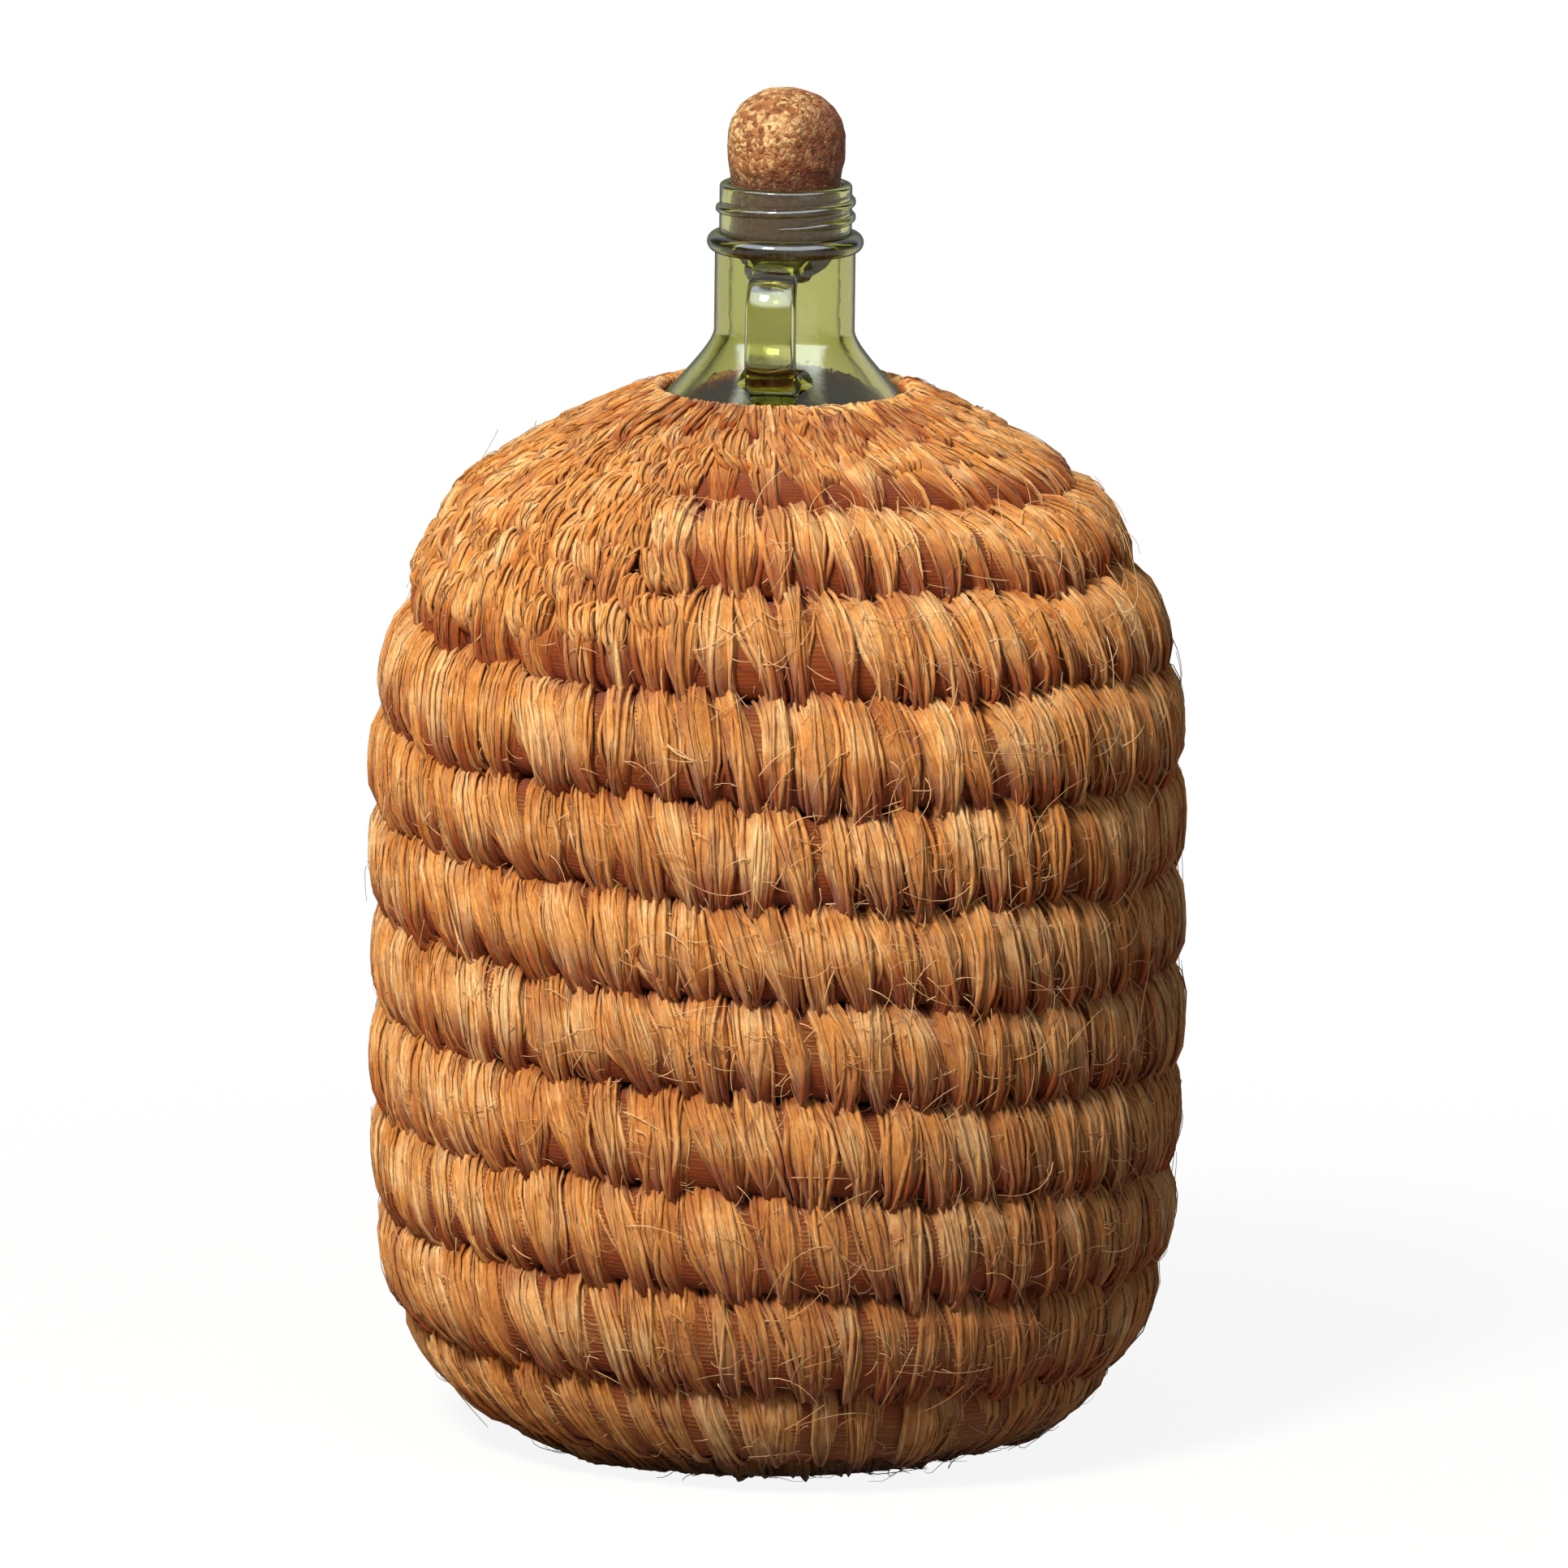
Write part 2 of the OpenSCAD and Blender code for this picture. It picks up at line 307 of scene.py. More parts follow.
@dataclass(frozen=True)
class JuteFinish:
    """Golden-brown jute yarn: long fibres in streaks, hairy and matt, with painted shade in its crevices, under each
    row, towards the lower right and at the ground.
    """

    name: str
    straw: str = "F8D69C"
    gold: str = "D8944A"
    # The rust colour is both the yarn's darkest tone and the colour of its painted shade.
    rust_and_shade: str = "924412"
    rose: str = "B06C44"
    # The crevice colour is the painted shade deep in the crevices.
    crevice: str = "8E3C0E"
    # The colour of the painted shade towards the lower right.
    painted_side_shade: str = "74462A"
    # The colour of the painted shade where the jacket meets the ground.
    painted_ground_shade: str = "4A200E"
    relief: float = 0.25 * MM

    def material(self) -> bpy.types.Material:
        """Makes the yarn's material, which follows each strand by its UV map and attributes.

        Returns:
            The material.
        """
        s = Shader.material(self.name)
        strand, depth = s.attribute("strand"), s.attribute("depth")
        along, around, _ = s.split(s.node("ShaderNodeUVMap", {"uv_map": "yarn"}))
        slow = s.node("ShaderNodeCombineXYZ", None, along * 0.9, around * 5 + along * 0.6, strand * 83)
        fast = s.node("ShaderNodeCombineXYZ", None, along * 1.6, around * 10 + along * 1.1, strand * 41)
        streak, hairs = s.noise(1.0, 3, slow).band(0.3, 0.7), s.noise(1.0, 2, fast).band(0.3, 0.7)
        patches, speckle = s.noise(75, 3).band(0.3, 0.7), s.noise(1300, 2).band(0.3, 0.7)
        tone = strand * 0.42 + streak * 0.2 + hairs * 0.12 + patches * 0.24 + speckle * 0.1 - 0.02
        colour = s.ramp(
            tone, (0.1, srgb(self.rust_and_shade)), (0.5, srgb(self.gold)), (0.92, srgb(self.straw)))
        colour = s.mix(s.noise(110, 2).band(0.5, 0.72) * 0.5, colour, srgb(self.rose))
        x, _, z = s.split(s.place())
        # Painted shade: the yarn darkens towards the rust colour where depth is low, in the crevices and under each
        # row.
        colour = s.mix((1 - depth.band(0.15, 1.0)) * 0.75, colour, srgb(self.rust_and_shade))
        # Painted shade: the yarn goes darker and duller towards the lower right, away from the key lamp.
        colour = s.mix((x * 0.9 - z * 0.5 + 60 * MM).band(-10 * MM, 110 * MM) * 0.55, colour, srgb(self.painted_side_shade))
        # Painted shade: the deepest crevices go to the crevice colour.
        colour = s.mix(1 - depth.band(-0.1, 0.6), colour, srgb(self.crevice))
        # Painted shade: the lowest 14 mm go dark where the jacket meets the ground.
        colour = s.mix(z.band(14 * MM, 0.0) * 0.8, colour, srgb(self.painted_ground_shade))
        height = streak * 0.5 + hairs * 0.5 + speckle * 0.15
        surface = s.principled(
            Base_Color=colour, Roughness=0.85, Specular_IOR_Level=0.08, Sheen_Weight=0.12, Sheen_Roughness=0.5,
            Normal=s.bump(height, self.relief))
        return s.finish(surface)


@dataclass(frozen=True)
class GlassFinish:
    """Olive-green bottle glass, deeper in colour where it is thicker, with the faint ripple of a mould, and painted
    shade: a dark olive where it is seen edge-on.
    """

    skin: str = "FBFAF0"
    body: str = "DAD884"
    # The colour of the painted shade at the glass's edges.
    edge_shade: str = "3A3D1C"
    density: float = 290.0
    ior: float = 1.5

    def material(self) -> bpy.types.Material:
        """Makes the glass's material."""
        s = Shader.material("olive_glass")
        ripple = s.noise(85, 2) * 0.7 + s.noise(300, 2) * 0.3
        clear = s.principled(
            Base_Color=s.mix(s.noise(25, 2).band(0.3, 0.7), srgb(self.skin), srgb("F4F8E8")), Roughness=0.02,
            IOR=self.ior, Transmission_Weight=1.0, Normal=s.bump(ripple, 0.3 * MM, 0.6))
        # Painted shade: where the glass is seen edge-on it turns to a matt dark olive, standing in for its dark edges.
        edge_shade = s.node("ShaderNodeLayerWeight", None, Blend=0.5, out="Facing").band(0.62, 0.86) * 0.95
        edge = s.principled(Base_Color=srgb(self.edge_shade), Roughness=0.6, Specular_IOR_Level=0.05)
        surface = s.node("ShaderNodeMixShader", None, edge_shade, clear, edge)
        inside = s.node("ShaderNodeVolumeAbsorption", None, Color=srgb(self.body), Density=self.density)
        return s.finish(surface, inside)


@dataclass(frozen=True)
class CorkFinish:
    """Pressed cork granules of many browns, with painted shade that makes it darker and redder low down and on its
    right side, and darker from just above the lip down.
    """

    lip_height: float
    tan: str = "D8B47E"
    orange: str = "A0683C"
    brown: str = "6C3C1E"
    # The red is the colour of the cork's painted shade, low down and on its right.
    red: str = "5E2A18"
    dark: str = "38190D"

    def material(self) -> bpy.types.Material:
        """Makes the cork's material."""
        s = Shader.material("pressed_cork")
        where = s.place()
        grains = s.node("ShaderNodeTexVoronoi", None, Vector=where, Scale=820.0, out="Color")
        grain, other, _ = s.split(grains)
        edge = s.node("ShaderNodeTexVoronoi", {"feature": "DISTANCE_TO_EDGE"}, Vector=where, Scale=820.0)
        fine, worn = s.noise(1700, 3), s.noise(70, 3)
        tone = grain * 0.62 + fine * 0.3 + worn * 0.7 - 0.3
        colour = s.ramp(tone, (0.12, srgb(self.brown)), (0.48, srgb(self.orange)), (0.82, srgb(self.tan)))
        x, y, z = s.split(where)
        # Painted shade: the cork goes darker and redder low down and towards its right side, away from the key lamp.
        low = (self.lip_height + 11 * MM - z) * 60 + x * 95 + worn * 0.8
        colour = s.mix(low.band(0.0, 1.2) * (other * 0.35 + 0.62), colour, srgb(self.red))
        pits = s.noise(620, 3).band(0.54, 0.7) * 0.65 + (1 - edge.band(0.0, 0.12)) * s.noise(260, 2).band(0.45, 0.6) * 0.2
        colour = s.mix(pits, colour, srgb(self.dark))
        # The cork is darker from 7 mm above the lip downwards.
        lip_darkening = (self.lip_height + 7 * MM - z - 45 * x * MM).band(0.0, 8 * MM) * (0.5 + fine * 0.4)
        colour = s.mix(lip_darkening, colour, srgb(self.dark))
        height = edge.band(0.0, 0.3) * 0.3 + fine * 0.5 - pits * 0.8
        surface = s.principled(
            Base_Color=colour, Roughness=0.8, Specular_IOR_Level=0.25, Normal=s.bump(height, 0.5 * MM))
        return s.finish(surface)


@dataclass
class GlassOutline:
    """The outline of the glass, as half sections of its outside and its inside."""

    body_radius: float = 85 * MM
    base_height: float = 23.7 * MM
    wall: float = 3 * MM
    floor: float = 5 * MM
    flat_radius: float = 42 * MM
    heel_height: float = 72 * MM
    heel_fullness: float = 2.8
    shoulder_height: float = 172 * MM
    shoulder_rise: float = 53 * MM
    neck_radius: float = 19.2 * MM
    bore_radius: float = 15.2 * MM
    neck_foot: float = 307.2 * MM
    neck_flare: float = 11 * MM
    heel_steps: int = 20
    shoulder_steps: int = 30

    def heel(self, wall: float = 0.0, floor: float = 0.0) -> np.ndarray:
        """Gives the heel's points, from the flat base to the wall, set in by a wall and raised by a floor."""
        angle = np.linspace(0, math.pi / 2, self.heel_steps + 1)
        power = 2 / self.heel_fullness
        radius = self.flat_radius + (self.body_radius - wall - self.flat_radius) * np.sin(angle) ** power
        height = self.base_height + floor + (self.heel_height - floor) * (1 - np.abs(np.cos(angle)) ** power)
        return np.stack([radius, height], 1)

    def shoulder(self, wall: float = 0.0, neck: Optional[float] = None) -> np.ndarray:
        """Gives the shoulder's points, from the wall to the straight neck of that radius, set in by a wall."""
        top = self.base_height + self.shoulder_height
        neck = neck or self.neck_radius
        side = self.body_radius - wall
        corners = np.array([
            [side, top], [side, top + self.shoulder_rise - wall],
            [neck, self.neck_foot - self.neck_flare - wall], [neck, self.neck_foot]])
        t = np.linspace(0, 1, self.shoulder_steps + 1)[:, None]
        weights = [(1 - t) ** 3, 3 * t * (1 - t) ** 2, 3 * t * t * (1 - t), t ** 3]
        return sum(w * c for w, c in zip(weights, corners))

    def radius_at(self, height: float) -> float:
        """Gives the shoulder's outside radius at a height."""
        line = self.shoulder()
        return float(np.interp(height, line[:, 1], line[:, 0]))


@dataclass
class RopeRow:
    """The rope at a number of places along its coil.

    Way is the place of its middle up the outline of the glass, half_row is half its height along the outline,
    and azimuth is its direction from the jug's axis.
    """

    way: np.ndarray
    half_row: np.ndarray
    azimuth: np.ndarray


@dataclass
class RopePath:
    """The coil of rope round the glass, counted in turns from its start under the base."""

    glass: GlassOutline = field(default_factory=GlassOutline)
    depth: float = 26 * MM
    row: float = 26.4 * MM
    row_gap: float = 0.5 * MM
    clearance: float = 0.3 * MM
    end: float = 4 * MM
    thin_run: float = 54 * MM
    collar_run: float = 44 * MM
    collar_radius: float = 33 * MM
    middle_gap: float = 0.5 * MM
    start_azimuth: float = math.radians(60)
    splice_azimuth: float = math.radians(90)
    wander: float = 0.9 * MM

    def __post_init__(self) -> None:
        """Measures the way along the rope's middle, up the outline."""
        heel, shoulder = self.glass.heel(), self.glass.shoulder()
        guide = np.concatenate([[[0.0, self.glass.base_height]], heel, shoulder])
        run = np.concatenate([guide[1:], guide[-1:]]) - np.concatenate([guide[:1], guide[:-1]])
        self.guide = guide
        self.guide_tilt = np.arctan2(-run[:, 0], run[:, 1])
        out = np.stack([np.cos(self.guide_tilt), np.sin(self.guide_tilt)], 1)
        steps = np.linalg.norm(np.diff(guide + (self.depth / 2 + self.clearance) * out, axis=0), axis=1)
        self.guide_way = np.concatenate([[0.0], np.cumsum(steps)])
        first = len(heel) + 1
        self.heel_way = float(self.guide_way[first - 1])
        self.shoulder_way = float(self.guide_way[first])
        falling = slice(len(guide) - 1, first - 1, -1)
        self.collar_way = float(np.interp(self.collar_radius, guide[falling, 0], self.guide_way[falling]))
        self.pitch = self.row + self.row_gap
        self.turns = (self.collar_way - self.middle_gap - 2 * self.end + self.row) / self.pitch

    def splices(self) -> list[float]:
        """Gives the turns at which the lengths of rope are spliced: at the wall, shoulder and collar."""
        offset = ((self.start_azimuth - self.splice_azimuth) / TURN) % 1
        ways = (self.heel_way, self.shoulder_way, self.collar_way - self.collar_run)
        return [offset + round(way / self.pitch - offset) for way in ways]

    def at(self, turn: np.ndarray) -> RopeRow:
        """Gives the rope at these turns of its coil."""
        turn = np.clip(turn, 0.0, self.turns)
        climb = self.middle_gap + self.end + self.pitch * turn
        upper = np.minimum(climb, self.collar_way)
        lower = np.maximum(climb - self.row, self.middle_gap)
        return RopeRow((upper + lower) / 2, (upper - lower) / 2, self.start_azimuth - TURN * turn)

    def point(self, way: np.ndarray, level: np.ndarray, azimuth: np.ndarray, proud: np.ndarray) -> np.ndarray:
        """Gives points in the jacket.

        Args:
            way: How far up the outline they lie.
            level: How far out in the rope they lie, from -1 at the glass to 1 at the outside.
            azimuth: Their direction from the jug's axis.
            proud: How much further out they lie, in metres.

        Returns:
            The points, in metres.
        """
        thin = np.clip((self.collar_way - way) / self.thin_run, 0, 1)
        steady = thin * np.clip(way / self.heel_way - 0.4, 0, 1)
        rise = np.sin(2 * azimuth + way / (31 * MM)) + 0.7 * np.sin(5 * azimuth - way / (17 * MM) + 1.3)
        rise = rise + 0.45 * np.sin(11 * azimuth + way / (12 * MM) + 4.0)
        swell = np.sin(3 * azimuth - way / (23 * MM) + 2.0) + 0.6 * np.sin(7 * azimuth + way / (14 * MM))
        way = way + self.wander * steady * rise
        tilt = np.interp(way, self.guide_way, self.guide_tilt)
        off = self.clearance + (self.end + (self.depth - self.end) * thin) / 2 * (1 + level)
        off = off + proud + 0.45 * self.wander * steady * swell * (1 + level) / 2
        radius = np.interp(way, self.guide_way, self.guide[:, 0]) + off * np.cos(tilt)
        height = np.interp(way, self.guide_way, self.guide[:, 1]) + off * np.sin(tilt)
        radius = np.maximum(radius, 0.3 * MM)
        azimuth = azimuth + 0 * radius
        return np.stack([radius * np.cos(azimuth), radius * np.sin(azimuth), height + 0 * azimuth], -1)

    def circle(self, turn: np.ndarray) -> np.ndarray:
        """Gives the radius of the rope's outer side round the jug's axis, at least that of its first bundles."""
        here = self.at(turn)
        outer = self.point(here.way, np.ones_like(turn), here.azimuth, np.zeros_like(turn))
        return np.maximum(np.hypot(outer[..., 0], outer[..., 1]), 9 * MM)


@dataclass
class Tubes:
    """Tubes that all have as many rings and sides, closed at both ends, with what a finish reads from them.

    Skin holds every tube's rings of points. Strand and depth are numbers for each point, and strands_round is
    how many strands lie side by side round one tube.
    """

    skin: np.ndarray
    strand: np.ndarray
    depth: np.ndarray
    strands_round: int = 1
    lay_length: float = 4.5 * MM

    @classmethod
    def along(cls, middles: np.ndarray, radii: np.ndarray, strand: np.ndarray, depth: np.ndarray,
              sides: int) -> "Tubes":
        """Lays round tubes along rows of middles.

        Args:
            middles: The middles of every tube's rings.
            radii: The radius of every ring.
            strand: A number for each tube, by which its colour differs.
            depth: A number for each ring, from 0 in a crevice to 1 in the open, by which the finish paints shade.
            sides: The number of sides.

        Returns:
            The tubes.
        """
        run = np.gradient(middles, axis=1)
        run /= np.linalg.norm(run, axis=2, keepdims=True) + 1e-12
        bow = middles[:, middles.shape[1] // 2] - (middles[:, 0] + middles[:, -1]) / 2
        side = np.cross(middles[:, -1] - middles[:, 0], bow + np.array([1e-6, 2e-6, 3e-6]))
        side /= np.linalg.norm(side, axis=1, keepdims=True) + 1e-12
        across = side[:, None] - (side[:, None] * run).sum(2, keepdims=True) * run
        across /= np.linalg.norm(across, axis=2, keepdims=True) + 1e-12
        over = np.cross(run, across)
        angle = (np.arange(sides) * TURN / sides)[:, None]
        ring = across[:, :, None] * np.cos(angle) + over[:, :, None] * np.sin(angle)
        skin = middles[:, :, None] + radii[:, :, None, None] * ring
        shape = skin.shape[:3]
        return cls(skin, np.broadcast_to(strand[:, None, None], shape), np.broadcast_to(depth[:, :, None], shape))

    def triangles(self) -> int:
        """Gives the number of triangles in one tube."""
        rings, sides = self.skin.shape[1:3]
        return 2 * (rings - 1) * sides + 2 * sides

    def pieces(self, name: str, marks: Optional[np.ndarray] = None) -> list[bpy.types.Object]:
        """Makes objects of the tubes, split so that each holds at most about MOST_TRIANGLES triangles.
        Makes objects of the tubes, none of them too large for its export.

        Args:
            name: The pieces' name, to which a number is added where there are several.
            marks: True for the tubes to take, or nothing for all of them.

        Returns:
            The objects, at the origin.
        """
        chosen = np.arange(len(self.skin)) if marks is None else np.nonzero(marks)[0]
        parts = max(1, math.ceil(len(chosen) * self.triangles() / MOST_TRIANGLES))
        names = [name] if parts == 1 else [f"{name}_{k + 1}" for k in range(parts)]
        return [self._mesh(part_name, part) for part_name, part in zip(names, np.array_split(chosen, parts))]

    def _mesh(self, name: str, chosen: np.ndarray) -> bpy.types.Object:
        """Makes one object of the chosen tubes."""
        skin = self.skin[chosen]
        count, rings, sides = skin.shape[:3]
        each = rings * sides + 2
        ends = skin[:, [0, -1]].mean(2)
        vertices = np.concatenate([skin.reshape(count, -1, 3), ends], 1)
        ring, side = np.meshgrid(np.arange(rings - 1), np.arange(sides), indexing="ij")
        after = (side + 1) % sides
        quads = np.stack([ring * sides + side, ring * sides + after, (ring + 1) * sides + after,
                          (ring + 1) * sides + side], -1).reshape(-1, 4)
        side = np.arange(sides)
        after = (side + 1) % sides
        last = (rings - 1) * sides
        near = np.stack([np.full_like(side, each - 2), after, side], 1)
        far = np.stack([np.full_like(side, each - 1), last + side, last + after], 1)
        start = (np.arange(count) * each)[:, None, None]
        square = (quads + start).reshape(-1, 4)
        three = (np.concatenate([near, far]) + start).reshape(-1, 3)
        corners = np.concatenate([square.ravel(), three.ravel()]).astype(np.int32)
        sizes = np.concatenate([np.full(len(square), 4), np.full(len(three), 3)])
        mesh = bpy.data.meshes.new(name)
        mesh.vertices.add(count * each)
        mesh.vertices.foreach_set("co", vertices.astype(np.float32).ravel())
        mesh.loops.add(len(corners))
        mesh.loops.foreach_set("vertex_index", corners)
        mesh.polygons.add(len(sizes))
        mesh.polygons.foreach_set("loop_start", np.concatenate([[0], np.cumsum(sizes)[:-1]]).astype(np.int32))
        mesh.polygons.foreach_set("loop_total", sizes.astype(np.int32))
        mesh.polygons.foreach_set("use_smooth", np.ones(len(sizes), bool))
        mesh.update(calc_edges=True)
        self._mark(mesh, chosen, quads, len(corners))
        made = bpy.data.objects.new(name, mesh)
        bpy.context.scene.collection.objects.link(made)
        return made

    def _mark(self, mesh: bpy.types.Mesh, chosen: np.ndarray, quads: np.ndarray, corners: int) -> None:
        """Writes the tubes' UV map, their strand numbers and their depth, by which the finish paints shade."""
        middles = self.skin[chosen].mean(2)
        count, rings = middles.shape[:2]
        sides = self.skin.shape[2]
        length = np.linalg.norm(np.diff(middles, axis=1), axis=2)
        along = np.concatenate([np.zeros((count, 1)), np.cumsum(length, 1)], 1) / self.lay_length
        along = along + self.strand[chosen, :1, 0] * 7
        row, column = quads // sides, quads % sides
        wrapped = (column == 0) & (quads[:, :1] % sides == sides - 1)
        around = np.where(wrapped, sides, column) / sides * self.strands_round
        u = along[:, row]
        uv = np.zeros((corners, 2), np.float32)
        uv[:u.size, 0] = u.ravel()
        uv[:u.size, 1] = np.broadcast_to(around, u.shape).ravel()
        mesh.uv_layers.new(name="yarn").data.foreach_set("uv", uv.ravel())
        for name, value in (("strand", self.strand[chosen]), ("depth", self.depth[chosen])):
            flat = np.concatenate([value.reshape(count, -1), value[:, [0, -1], 0]], 1)
            mesh.attributes.new(name, "FLOAT", "POINT").data.foreach_set("value", flat.astype(np.float32).ravel())


@dataclass
class Wraps:
    """Yarns laid over the rope: the middles and radii of their rings, the ways outwards, and their marks."""

    middles: np.ndarray
    outward: np.ndarray
    radii: np.ndarray
    strand: np.ndarray
    depth: np.ndarray
    turn: np.ndarray

    def tubes(self, sides: int) -> Tubes:
        """Makes the yarns round tubes with that many sides."""
        return Tubes.along(self.middles, self.radii, self.strand, self.depth, sides)

    def fibres(self, rng: np.random.Generator, count: int, rings: int = 5) -> Tubes:
        """Lays fine fibres on the yarns, nearly along them, so that they look spun from fibre.

        Args:
            rng: The source of chance.
            count: The number of fibres.
            rings: The number of rings in a fibre.

        Returns:
            The fibres.
        """
        yarn = rng.integers(0, len(self.middles), count)[:, None]
        last = self.middles.shape[1] - 1
        span = rng.uniform(1.5, 4.5, (count, 1))
        step = rng.uniform(0.8, last - 0.8 - span, (count, 1)) + span * np.linspace(0, 1, rings)[None]
        low = np.minimum(step.astype(int), last - 1)
        part = (step - low)[..., None]
        middles, outward, radii, depth = [
            values[yarn, low] * (1 - part if values.ndim == 3 else 1 - part[..., 0])
            + values[yarn, low + 1] * (part if values.ndim == 3 else part[..., 0])
            for values in (self.middles, self.outward, self.radii, self.depth)]
        side = np.cross(middles[:, -1] - middles[:, 0], outward[:, rings // 2])
        side /= np.linalg.norm(side, axis=1, keepdims=True) + 1e-12
        t = np.linspace(-1, 1, rings)[None]
        across = rng.uniform(-1, 1, (count, 1)) + rng.normal(0, 0.55, (count, 1)) * t
        across = across + rng.normal(0, 0.3, (count, 1)) * t * t
        loose = rng.uniform(0, 1, (count, 1)) ** 3 * 0.9 * MM * (1 - t * t)
        height = radii * np.sqrt(np.clip(1 - across ** 2, 0, 1)) * 0.95 + loose
        points = middles + side[:, None] * (across * radii)[..., None] + outward * height[..., None]
        thick = rng.uniform(0.11, 0.24, (count, 1)) * MM * np.array([0.45, 1.0, 1.0, 0.9, 0.35])[None]
        points[..., 2] = np.maximum(points[..., 2], thick)
        # The fibres take their yarns' depth, a little lighter, so they carry its painted shade.
        return Tubes.along(points, thick, rng.uniform(0.25, 1, count), np.clip(depth + 0.05, 0, 1), 3)


@dataclass
class RopeJacket:
    """The jacket: a coiled core of yarns that run along it, wrapped by bundles of yarn."""

    path: RopePath = field(default_factory=RopePath)
    yarn_radius: float = 0.66 * MM
    yarn_space: float = 1.5 * MM
    bundle_pitch: float = 12.0 * MM
    crown: float = 3.3 * MM
    sunk: float = 1.0
    pad_rings: int = 12
    pad_front: int = 7
    pad_back: float = 3.5 * MM
    fullness: float = 2.6
    edge_fullness: float = 2.0
    middle_fullness: float = 2.8
    wrap_rings: int = 14
    wrap_sides: int = 4
    tuft_rings: int = 10
    merged_row: float = 14 * MM
    core_share: float = 0.72
    core_yarns: int = 44
    core_steps: int = 40
    seed: int = 11

    @staticmethod
    def _around(angle: np.ndarray, fullness: Union[float, np.ndarray]) -> tuple[np.ndarray, np.ndarray]:
        """Goes round the rope's section.

        Args:
            angle: The angle above the middle of the rope's outer side.
            fullness: How full the section is, 2 for a round one and more for a squarer one.

        Returns:
            How far out and how far up the section lies there, each from -1 to 1.
        """
        cos, sin = np.cos(angle), np.sin(angle)
        size = (np.abs(cos) ** fullness + np.abs(sin) ** fullness) ** (-1 / fullness)
        return size * cos, size * sin

    def _core(self, first: float, last: float) -> Tubes:
        """Makes the core between two turns: one tube whose outer side is scalloped by its yarns."""
        rings = int((last - first) * self.core_steps) + 1
        turn = np.linspace(first, last, rings)[:, None]
        fine = self.core_yarns * 3
        front = np.linspace(-1.9, 1.9, fine + 1)
        back = np.linspace(1.9, TURN - 1.9, 10)[1:-1]
        angle = np.concatenate([front, back])[None]
        step = np.concatenate([np.arange(fine + 1), np.zeros(len(back))])
        drift = 0.05 * np.sin(turn * 9.0) + 0.04 * np.sin(turn * 31.0 + 1.0)
        level, rise = self._around(angle + drift, self.fullness)
        here = self.path.at(turn)
        scallop = np.abs(np.sin(step * math.pi / 3))[None]
        thin = np.clip(here.half_row / (self.path.row / 2), 0, 1)
        low = np.clip(1.6 - 1.2 * here.way / self.path.heel_way, 0, 1)
        share = (self.core_share + (0.9 - self.core_share) * low) * (0.5 + 0.5 * thin)
        # Depth marks painted shade: the core's depth is at most a half, so it is painted in shade throughout and darker
        # still under the row.
        depth = np.clip(np.where(rise > 0, 0.5 - 0.5 * rise ** 3, 0.5 - 0.8 * np.abs(rise) ** 0.7), 0, 1)
        points = self.path.point(here.way + here.half_row * 0.97 * rise, level * share, here.azimuth, 0.38 * MM * scallop)
        points[..., 2] = np.maximum(points[..., 2], 0.5 * MM)
        strand = np.broadcast_to((np.round(step / 3 + 0.01) * 0.618) % 1, level.shape)
        return Tubes(points[None, :, ::-1], strand[None, :, ::-1], depth[None, :, ::-1], self.core_yarns)

    def _gaps(self, rng: np.random.Generator) -> np.ndarray:
        """Places the gaps between bundles, each over the middle of a bundle of the row below where one is near.

        Args:
            rng: The source of chance.

        Returns:
            The gaps, in turns along the rope.
        """
        gaps = [0.0]
        while gaps[-1] < self.path.turns:
            circle = float(self.path.circle(np.array(gaps[-1])))
            step = self.bundle_pitch * rng.uniform(0.75, 1.3) / (TURN * circle)
            wanted = gaps[-1] + step
            k = bisect.bisect(gaps, wanted - 1)
            middles = [(gaps[j] + gaps[j + 1]) / 2 + 1 for j in (k - 2, k - 1, k) if 0 <= j < len(gaps) - 1]
            near = min(middles, key=lambda m: abs(m - wanted), default=wanted)
            gaps.append(near if abs(near - wanted) < 0.38 * step else wanted)
        return np.array(gaps)

    def _open(self, turn: float) -> float:
        """Gives the chance that a bundle leaves the core open beside it, which is most at the front of the shoulder."""
        here = self.path.at(np.array(turn))
        right = math.cos(float(here.azimuth) - math.radians(-55))
        high = min(max((float(here.way) / self.path.shoulder_way - 0.84) / 0.2, 0), 1)
        return 0.05 + 0.3 * max(right, 0) * high

    def _bundles(self, rng: np.random.Generator) -> dict[str, np.ndarray]:
        """Lays bundles of yarn side by side along the rope, and splits them into their yarns.

        Args:
            rng: The source of chance.

        Returns:
            For every yarn, its bundle's middle, its place across its bundle and what its bundle shares.
        """
        gaps = self._gaps(rng)
        rows: list[tuple[float, ...]] = []
        for start, end in zip(gaps, gaps[1:]):
            middle = (start + end) / 2
            if middle > self.path.turns - 0.02:
                break
            circle = float(self.path.circle(np.array(middle)))
            pitch = (end - start) * TURN * circle
            cover = rng.uniform(0.8, 0.96) if rng.uniform() < self._open(middle) else rng.uniform(1.1, 1.3)
            count = max(4, round(pitch * cover / self.yarn_space))
            left = max(math.cos(float(self.path.at(np.array(middle)).azimuth) - math.radians(-165)), 0)
            shared = (rng.normal(0.24 + 0.3 * left, 0.14), rng.uniform(-0.1, 0.2), rng.uniform(0.5, 0.78),
                      rng.normal(0, 0.3 * MM), rng.uniform(0, 1), rng.uniform(2.4, 5.6) * MM,
                      rng.uniform(2.4, 6.2) * MM, rng.normal(0, 0.9 * MM), rng.uniform(0.78, 1.3),
                      rng.uniform(0.2, 3.0) * MM)
            for k in range(count):
                rows.append((middle, -1 + 2 * (k + 0.5) / count, pitch * cover / 2, circle, *shared))
